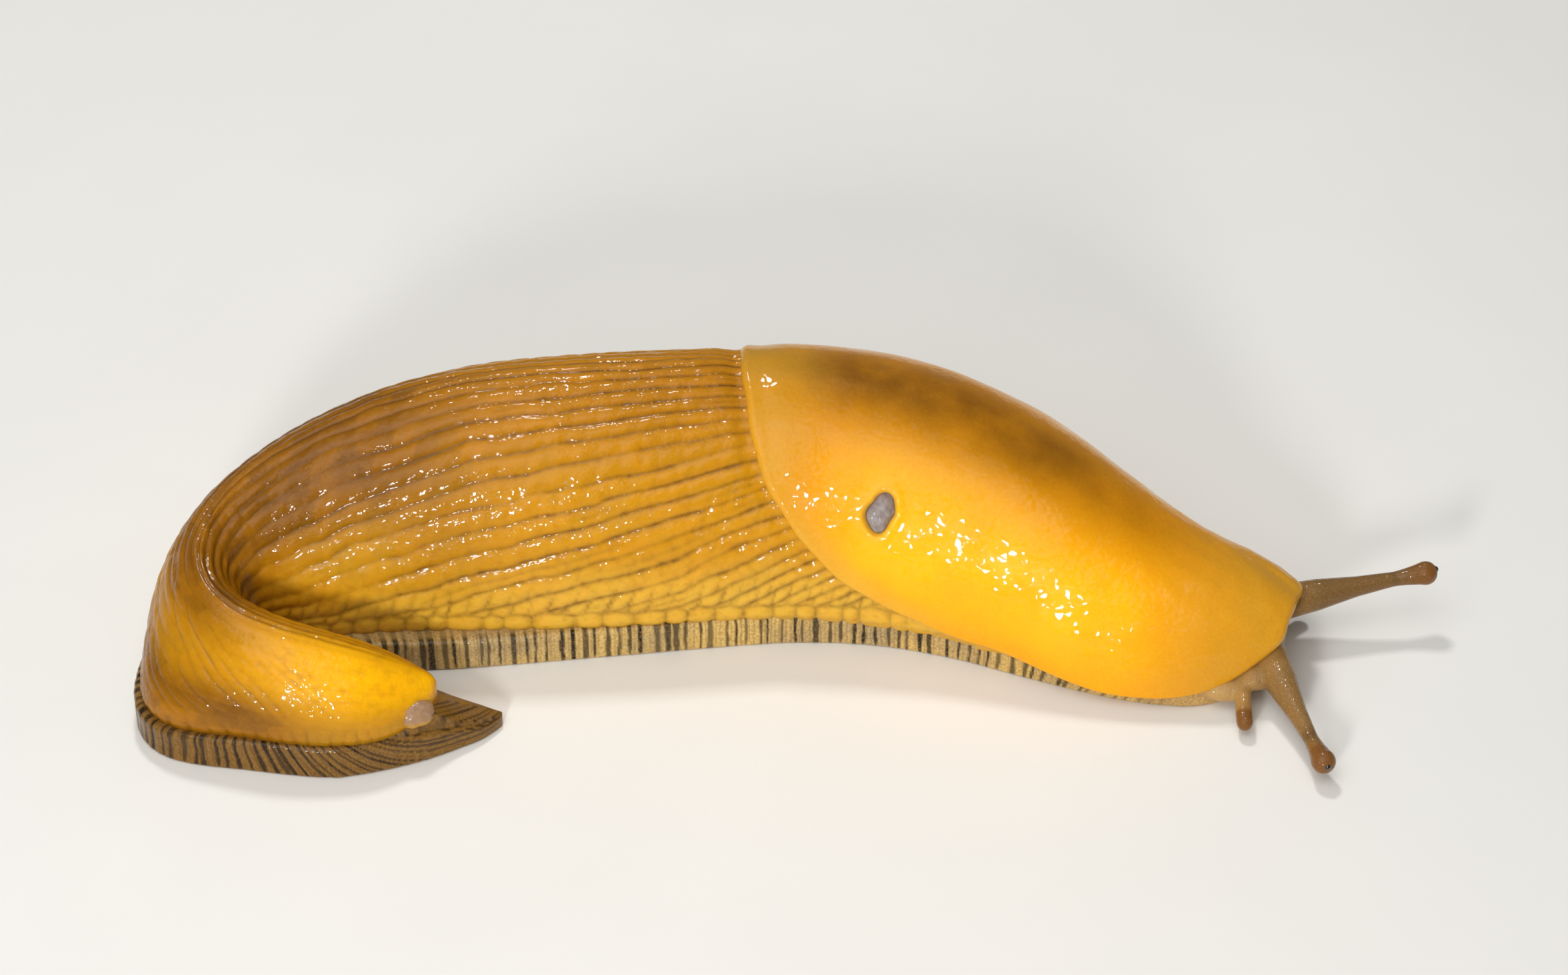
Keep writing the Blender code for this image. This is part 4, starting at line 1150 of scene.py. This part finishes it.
def foot_colour(tree, place, fine, lay):
    """Living skin of the fringe: tan and grainy, with upright bars of near black pigment."""
    grains = {"Vector": place, "Scale": 1 / (0.22 * MM), "Detail": 2.0}
    grains = add(tree, "ShaderNodeTexNoise", grains).outputs["Fac"]
    ragged = {0: grains, 1: -1.6, 2: 1.75}
    ragged = add(tree, "ShaderNodeMath", ragged, operation="MULTIPLY_ADD", use_clamp=True)
    smoky = lay("fringe_gold", (((1.4, 4.0), 3.0, -0.9, "wedge_grey"),))
    layers = (
        ((6.0, 2.0), 2.4, -0.9, "fringe_grey"),
        ("tail_tip", 1.0, 0.0, "fringe_gold"),
        ("head_end", 0.85, 0.0, "lip_pale"),
        (grains, 2.0, -0.75, "fringe_grain", "MULTIPLY"),
        ("wedge", 0.9, 0.0, smoky),
        ("stripe", ragged.outputs[0], 0.0, "stripe_brown"),
    )
    return lay("fringe_tan", layers)


def head_colour(tree, place, fine, lay):
    """Living skin of the head and tentacles: brown, clear and grainy, warm at the tips."""
    net = {"Vector": place, "Scale": 1 / (0.2 * MM)}
    net = add(tree, "ShaderNodeTexVoronoi", net).outputs["Distance"]
    layers = (
        ("stalk", 1.0, 0.0, "tentacle_brown"),
        ("pale", 1.0, 0.0, "lip_pale"),
        (net, -1.3, 0.55, "lip_pale"),
        # Dusky band before the knobs, and painted shade over the far tentacle
        ("dusk", 0.6, 0.0, "dusky_brown_and_shade"),
        ("tip", 1.0, 0.0, "tip_orange"),
        (fine, 0.8, -0.3, "dusky_brown_and_shade", "SOFT_LIGHT"),
    )
    return lay("head_tan", layers)


def lining_colour(tree, place, fine, lay):
    """Thin wet membrane over the lung: grey with a violet cast, clear at the surface."""
    return lay("lining_grey", (((0.8, 4.0), 2.4, -0.8, "lining_shade"),))


def gland_colour(tree, place, fine, lay):
    """Clear jelly over the gland: pinkish grey above, golden where the tail shows through."""
    height = add(tree, "ShaderNodeSeparateXYZ", {0: place}).outputs[2]
    share = {"Value": height, "From Min": 3.8 * MM, "From Max": 4.7 * MM}
    share = add(tree, "ShaderNodeMapRange", share).outputs[0]
    return lay("back_gold", ((share, 1.0, 0.0, "gland_pink"), (fine, 0.8, -0.25, "lip_pale")))


# Each surface: its colours; its grain, the grain's relief and the film's facets in millimetres;
# its roughness; the share of light that goes in, and how far red, green and blue go there
SURFACES = {
    "wet yellow mantle skin": (mantle_colour, 0.28, 0.02, 1.0, 0.42, 0.3, (1.1, 0.75, 0.15)),
    "wet furrowed back skin": (back_colour, 0.24, 0.025, 0.6, 0.42, 0.2, (0.9, 0.6, 0.15)),
    "wet striped fringe skin": (foot_colour, 0.2, 0.03, 0.5, 0.45, 0.02, (0.5, 0.35, 0.2)),
    "wet clear brown head skin": (head_colour, 0.14, 0.02, 0.45, 0.38, 0.5, (0.9, 0.6, 0.35)),
    "wet grey lung membrane": (lining_colour, 0.12, 0.02, 0.35, 0.25, 0.3, (0.5, 0.4, 0.4)),
    "clear slime gland jelly": (gland_colour, 0.25, 0.015, 0.6, 0.25, 0.4, (1.0, 0.7, 0.5)),
}


def millimetres(name, description, value):
    size = {"default": value * MM, "unit": "LENGTH"}
    return FloatProperty(name=name, description=description, **size)


def watts(name, description, value):
    return FloatProperty(name=name, description=description, default=value, unit="POWER")


def srgb(name, description, code):
    tint = {"default": linear(code), "subtype": "COLOR", "size": 3, "min": 0.0, "max": 1.0}
    return FloatVectorProperty(name=name, description=description, **tint)


class SlugSizes(bpy.types.PropertyGroup):
    furrow_depth: millimetres("Furrow depth", "Depth of the furrows on the back", 0.3)
    furrow_spacing: millimetres("Furrow spacing", "Width of one ridge behind the mantle", 1.5)
    furrow_line: millimetres("Furrow line", "Half width of the brown line in a furrow", 0.17)
    stripe_spacing: millimetres("Stripe spacing", "Distance between the fringe's stripes", 1.1)
    stripe_width: millimetres("Stripe width", "Width of the widest stripes", 0.6)
    eye_radius: millimetres("Eye radius", "Radius of the eye at a tentacle's end", 0.3)


class SlugColours(bpy.types.PropertyGroup):
    mantle_yellow: srgb("Mantle yellow", "Brightest yellow, low on the mantle", "#FFBE00")
    mantle_mid: srgb("Mantle gold", "The mantle's general colour", "#E69800")
    # A brown that is partly the mantle's own and partly painted shade over its crest
    mantle_crest_brown_and_shade: srgb("Mantle crest", "Browner gold along the mantle's crest", "#865504")
    mantle_front: srgb("Mantle front", "Tan gold of the mantle's front", "#CF9A28")
    pale_rim: srgb("Mantle rim", "Pale thin edge of the mantle", "#D6AC42")
    back_gold: srgb("Back gold", "Ridges of the back", "#CC930C")
    # A brown that is partly the back's own and partly painted shade over its crest and in the bend's
    # inner crease; also the flecks' colour
    back_crest_brown_and_shade: srgb("Back crest", "Brown gold along the back's crest", "#AC7208")
    # Darker brown of the back's rear, and painted shade on the tail's outer side
    back_dusk_brown_and_shade: srgb("Back dusk", "Brown of the back's rear and the tail's outer side", "#673E02")
    flank_pale: srgb("Flank", "Pale yellow low on the flank", "#E0B33C")
    # Pigment in the furrows, and the painted shade on their slopes and along the flank's foot
    furrow_brown_and_shade: srgb("Furrows", "Pigment in the furrows", "#5E3A08")
    fringe_tan: srgb("Fringe tan", "Ground colour of the fringe", "#DDBB70")
    fringe_grey: srgb("Fringe grey", "Greyer patches of the fringe", "#AE9870")
    fringe_gold: srgb("Fringe gold", "Golden brown of the tail's end", "#86622B")
    wedge_grey: srgb("Tail ridge", "Smoky grey on the foot behind the gland", "#6E5A4C")
    fringe_grain: srgb("Fringe grain", "Darker grains of the fringe", "#B89868")
    stripe_brown: srgb("Stripes", "Bars on the fringe", "#150E09")
    head_tan: srgb("Head", "Skin of the head", "#A47C40")
    lip_pale: srgb("Lips", "Pale lips and grains", "#C4A064")
    tentacle_brown: srgb("Tentacles", "Skin of the tentacles", "#8E6C3E")
    # Also the painted shade over the far tentacle
    dusky_brown_and_shade: srgb("Tentacle shade", "Dusky band before the knob", "#5A4020")
    tip_orange: srgb("Tentacle tips", "Warm tips of the tentacles", "#7E5426")
    lining_grey: srgb("Lung lining", "Grey wet lining of the lung", "#A39A98")
    lining_shade: srgb("Lung shade", "Darker grey in the lung", "#7E7674")
    gland_pink: srgb("Slime gland", "Clear pinkish grey of the gland", "#96765F")
    eye_black: srgb("Eyes", "Eye spots", "#0C0A08")


class StageLook(bpy.types.PropertyGroup):
    floor_tone: srgb("Floor", "Plain pale floor", "#EEECE6")
    key_power: watts("Key light", "Power of the main light", 1.15)
    sparkle_power: watts("Sparkle", "Power of the small light low in front", 1.1)
    crest_sparkle_power: watts("Crest sparkle", "Power of the small light high behind", 0.7)
    soft_power: watts("Soft light", "Power of the large light", 1.9)


class SLUG_OT_build_skin(bpy.types.Operator):
    """Builds the one skin of body, foot, mantle, head and tentacles"""

    bl_idname = "slug.build_skin"
    bl_label = "Skin"

    def execute(self, context):
        sizes = context.scene.slug_sizes
        colours = context.scene.slug_colours
        forms = []
        for (form, marks), surface in (
            (body_surface(sizes), "wet furrowed back skin"),
            (foot_surface(sizes), "wet striped fringe skin"),
            (mantle_surface(), "wet yellow mantle skin"),
            (head_surface(), "wet clear brown head skin"),
        ):
            if isinstance(form, bpy.types.Mesh):
                form = new_object(form.name + "_form", form)
            form.data.materials.clear()
            form.data.materials.append(wet_surface(surface, colours))
            forms.append((form, points_of(form.data), marks))
        skin = forms[0][0]
        for form, _, _ in forms[1:]:
            join(skin, "UNION", form)
        hole = new_object("lung_hole", lung_plug("lung_hole", HOLE_PROFILE))
        hole.data.materials.append(bpy.data.materials["wet yellow mantle skin"])
        join(skin, "DIFFERENCE", hole)
        nearest_marks(skin.data, [(points, marks) for _, points, marks in forms])
        to_metres(skin)
        skin.name = "slug_skin"
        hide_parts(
            "head", "mantle", "fore_body", "trunk", "tail_bend", "tail", "foot_front",
            "foot_middle", "foot_bend", "foot_tail", "upper_tentacle_right",
            "upper_tentacle_left", "lower_tentacle_right", "lower_tentacle_left",
        )
        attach(skin, "root")
        return {"FINISHED"}


class SLUG_OT_build_lining(bpy.types.Operator):
    """Builds the grey lining in the lung's opening"""

    bl_idname = "slug.build_lining"
    bl_label = "Lung lining"

    def execute(self, context):
        colours = context.scene.slug_colours
        shares = np.linspace(0.92, 0.04, 24)
        bulge = [(share, -0.62 + 0.5 * (1 - share**2)) for share in shares]
        lining = new_object("lung_lining", lung_plug("lung_lining", (*LINING_EDGE, *bulge)))
        points = points_of(lining.data)
        x, _, z = points.T
        fold = 0.07 * ripple(x / 0.45, z / 0.6, 51) + 0.03 * ripple(x / 0.2, z / 0.2, 52)
        middle, out, forward, up = lung_frame()
        tilt = -LINING_TILT * ((points - middle) @ (forward + up))
        move(lining.data, points, out * (fold + tilt)[:, None])
        membrane = wet_surface("wet grey lung membrane", colours, marked=False)
        lining.data.materials.append(membrane)
        to_metres(lining)
        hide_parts("lung_opening")
        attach(lining, "root")
        return {"FINISHED"}


class SLUG_OT_build_gland(bpy.types.Operator):
    """Builds the slime gland under the end of the tail"""

    bl_idname = "slug.build_gland"
    bl_label = "Slime gland"

    def execute(self, context):
        colours = context.scene.slug_colours
        heading = float(np.interp(GLAND_AT, MIDLINE[0], MIDLINE[1]))
        place = raised(GLAND_AT, GLAND_ROUND, GLAND_LIFT)
        place = place - GLAND_INWARD * body_normal(GLAND_AT, GLAND_ROUND)
        place = place - np.array([0, 0, GLAND_SINK])
        gland = new_object("slime_gland", ellipsoid("slime_gland", place, GLAND_SIZE, heading, 96))
        points = points_of(gland.data)
        x, y, z = points.T
        lumps = 0.14 * ripple(x / 1.3, y / 1.1 + z, 61)
        lumps = lumps + 0.05 * ripple(x / 0.5, y / 0.5 + z / 0.7, 62)
        out = (points - place) / np.array(GLAND_SIZE)
        move(gland.data, points, out * (lumps - 0.15)[:, None])
        jelly = wet_surface("clear slime gland jelly", colours, marked=False)
        gland.data.materials.append(jelly)
        to_metres(gland)
        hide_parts("tail_gland")
        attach(gland, "root")
        return {"FINISHED"}


class SLUG_OT_build_eyes(bpy.types.Operator):
    """Builds the two eye spots in the ends of the upper tentacles"""

    bl_idname = "slug.build_eyes"
    bl_label = "Eyes"

    def execute(self, context):
        radius = context.scene.slug_sizes.eye_radius / MM
        colours = context.scene.slug_colours
        # Black pigment cup under a clear lens, so a sharp small glint
        material, tree, shader, place = new_material("black lens of the eye")
        cloud = ((0.2, 2.0), 1.4, -0.5, "stripe_brown")
        cloudy = layered(tree, colours, place, "eye_black", (cloud,))
        shine = {"Roughness": 0.12, "Coat Weight": 1.0, "Coat Roughness": 0.03}
        fill(tree, shader, {"Base Color": cloudy, **shine})
        for name, root, tip in (
            ("eye_right", UPPER_ROOT_RIGHT, UPPER_TIP_RIGHT),
            ("eye_left", UPPER_ROOT_LEFT, UPPER_TIP_LEFT),
        ):
            root, tip = Vector(head_place(*root)), Vector(head_place(*tip))
            look = ((tip - root).normalized() + Vector((0, 0, EYE_LIFT))).normalized()
            lens = ellipsoid(name, (0, 0, 0), (radius, radius, 0.8 * radius), 0, 40)
            eye = new_object(name + "_lens", lens)
            turn = look.to_track_quat("Z", "Y").to_matrix().to_4x4()
            eye.data.transform(Matrix.Translation(tip + look * (KNOB_RADIUS - EYE_SINK)) @ turn)
            eye.data.materials.append(material)
            to_metres(eye)
            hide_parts(name)
            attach(eye, "root")
        return {"FINISHED"}


class SLUG_OT_build_stage(bpy.types.Operator):
    """Builds the plain floor, the soft lights and the camera"""

    bl_idname = "slug.build_stage"
    bl_label = "Stage"

    def execute(self, context):
        scene = context.scene
        look = scene.stage_look
        shape = bmesh.new()
        bmesh.ops.create_grid(shape, x_segments=1, y_segments=1, size=FLOOR_HALF)
        floor = new_object("floor", mesh_of("floor", shape))
        # Matt paper: pale, with only a trace of mottling
        material, tree, shader, place = new_material("pale matt paper")
        darker = [0.94 * share for share in look.floor_tone]
        mottling = ((25.0, 3.0), 1.0, 0.0, (*darker, 1.0))
        mottled = layered(tree, look, place, "floor_tone", (mottling,))
        fill(tree, shader, {"Base Color": mottled, "Roughness": 0.75})
        floor.data.materials.append(material)

        rise = math.radians(CAMERA_RISE)
        back = Vector((0, -math.cos(rise), math.sin(rise)))
        lens = bpy.data.cameras.new("camera")
        lens.lens = CAMERA_LENS
        lens.shift_x, lens.shift_y = CAMERA_SHIFT
        lens.clip_start = 0.01
        camera = new_object("camera", lens)
        camera.location = (Vector((*CAMERA_AIM, 0)) + back * CAMERA_AWAY) * MM
        camera.rotation_euler = back.to_track_quat("Z", "Y").to_euler()
        scene.camera = camera

        for name, (width, place) in LAMPS.items():
            light = bpy.data.lights.new(name, "AREA")
            light.energy = getattr(look, name + "_power")
            light.size = width
            lamp = new_object(name, light)
            lamp.location = place
            lamp.rotation_euler = Vector(place).to_track_quat("Z", "Y").to_euler()
        world = bpy.data.worlds.new("studio")
        world.use_nodes = True
        background = {0: (1, 1, 1, 1), 1: WORLD_LIGHT}
        fill(world.node_tree, world.node_tree.nodes["Background"], background)
        scene.world = world
        scene.view_settings.view_transform = "Standard"
        return {"FINISHED"}


class SLUG_PT_model(bpy.types.Panel):
    bl_idname = "SLUG_PT_model"
    bl_label = "Banana slug"
    bl_space_type = "VIEW_3D"
    bl_region_type = "UI"
    bl_category = "Slug"

    def draw(self, context):
        scene = context.scene
        for group in (scene.slug_sizes, scene.slug_colours, scene.stage_look):
            box = self.layout.box()
            for key in group.__annotations__:
                box.prop(group, key)
        for operator in STEPS:
            self.layout.operator(operator.bl_idname)


STEPS = (
    SLUG_OT_build_skin,
    SLUG_OT_build_lining,
    SLUG_OT_build_gland,
    SLUG_OT_build_eyes,
    SLUG_OT_build_stage,
)
CLASSES = (SlugSizes, SlugColours, StageLook, *STEPS, SLUG_PT_model)


def register():
    for each in CLASSES:
        bpy.utils.register_class(each)
    bpy.types.Scene.slug_sizes = PointerProperty(type=SlugSizes)
    bpy.types.Scene.slug_colours = PointerProperty(type=SlugColours)
    bpy.types.Scene.stage_look = PointerProperty(type=StageLook)


def unregister():
    del bpy.types.Scene.stage_look
    del bpy.types.Scene.slug_colours
    del bpy.types.Scene.slug_sizes
    for each in reversed(CLASSES):
        bpy.utils.unregister_class(each)


def main():
    register()
    bpy.ops.slug.build_skin()
    bpy.ops.slug.build_lining()
    bpy.ops.slug.build_gland()
    bpy.ops.slug.build_eyes()
    bpy.ops.slug.build_stage()


if __name__ == "__main__":
    main()
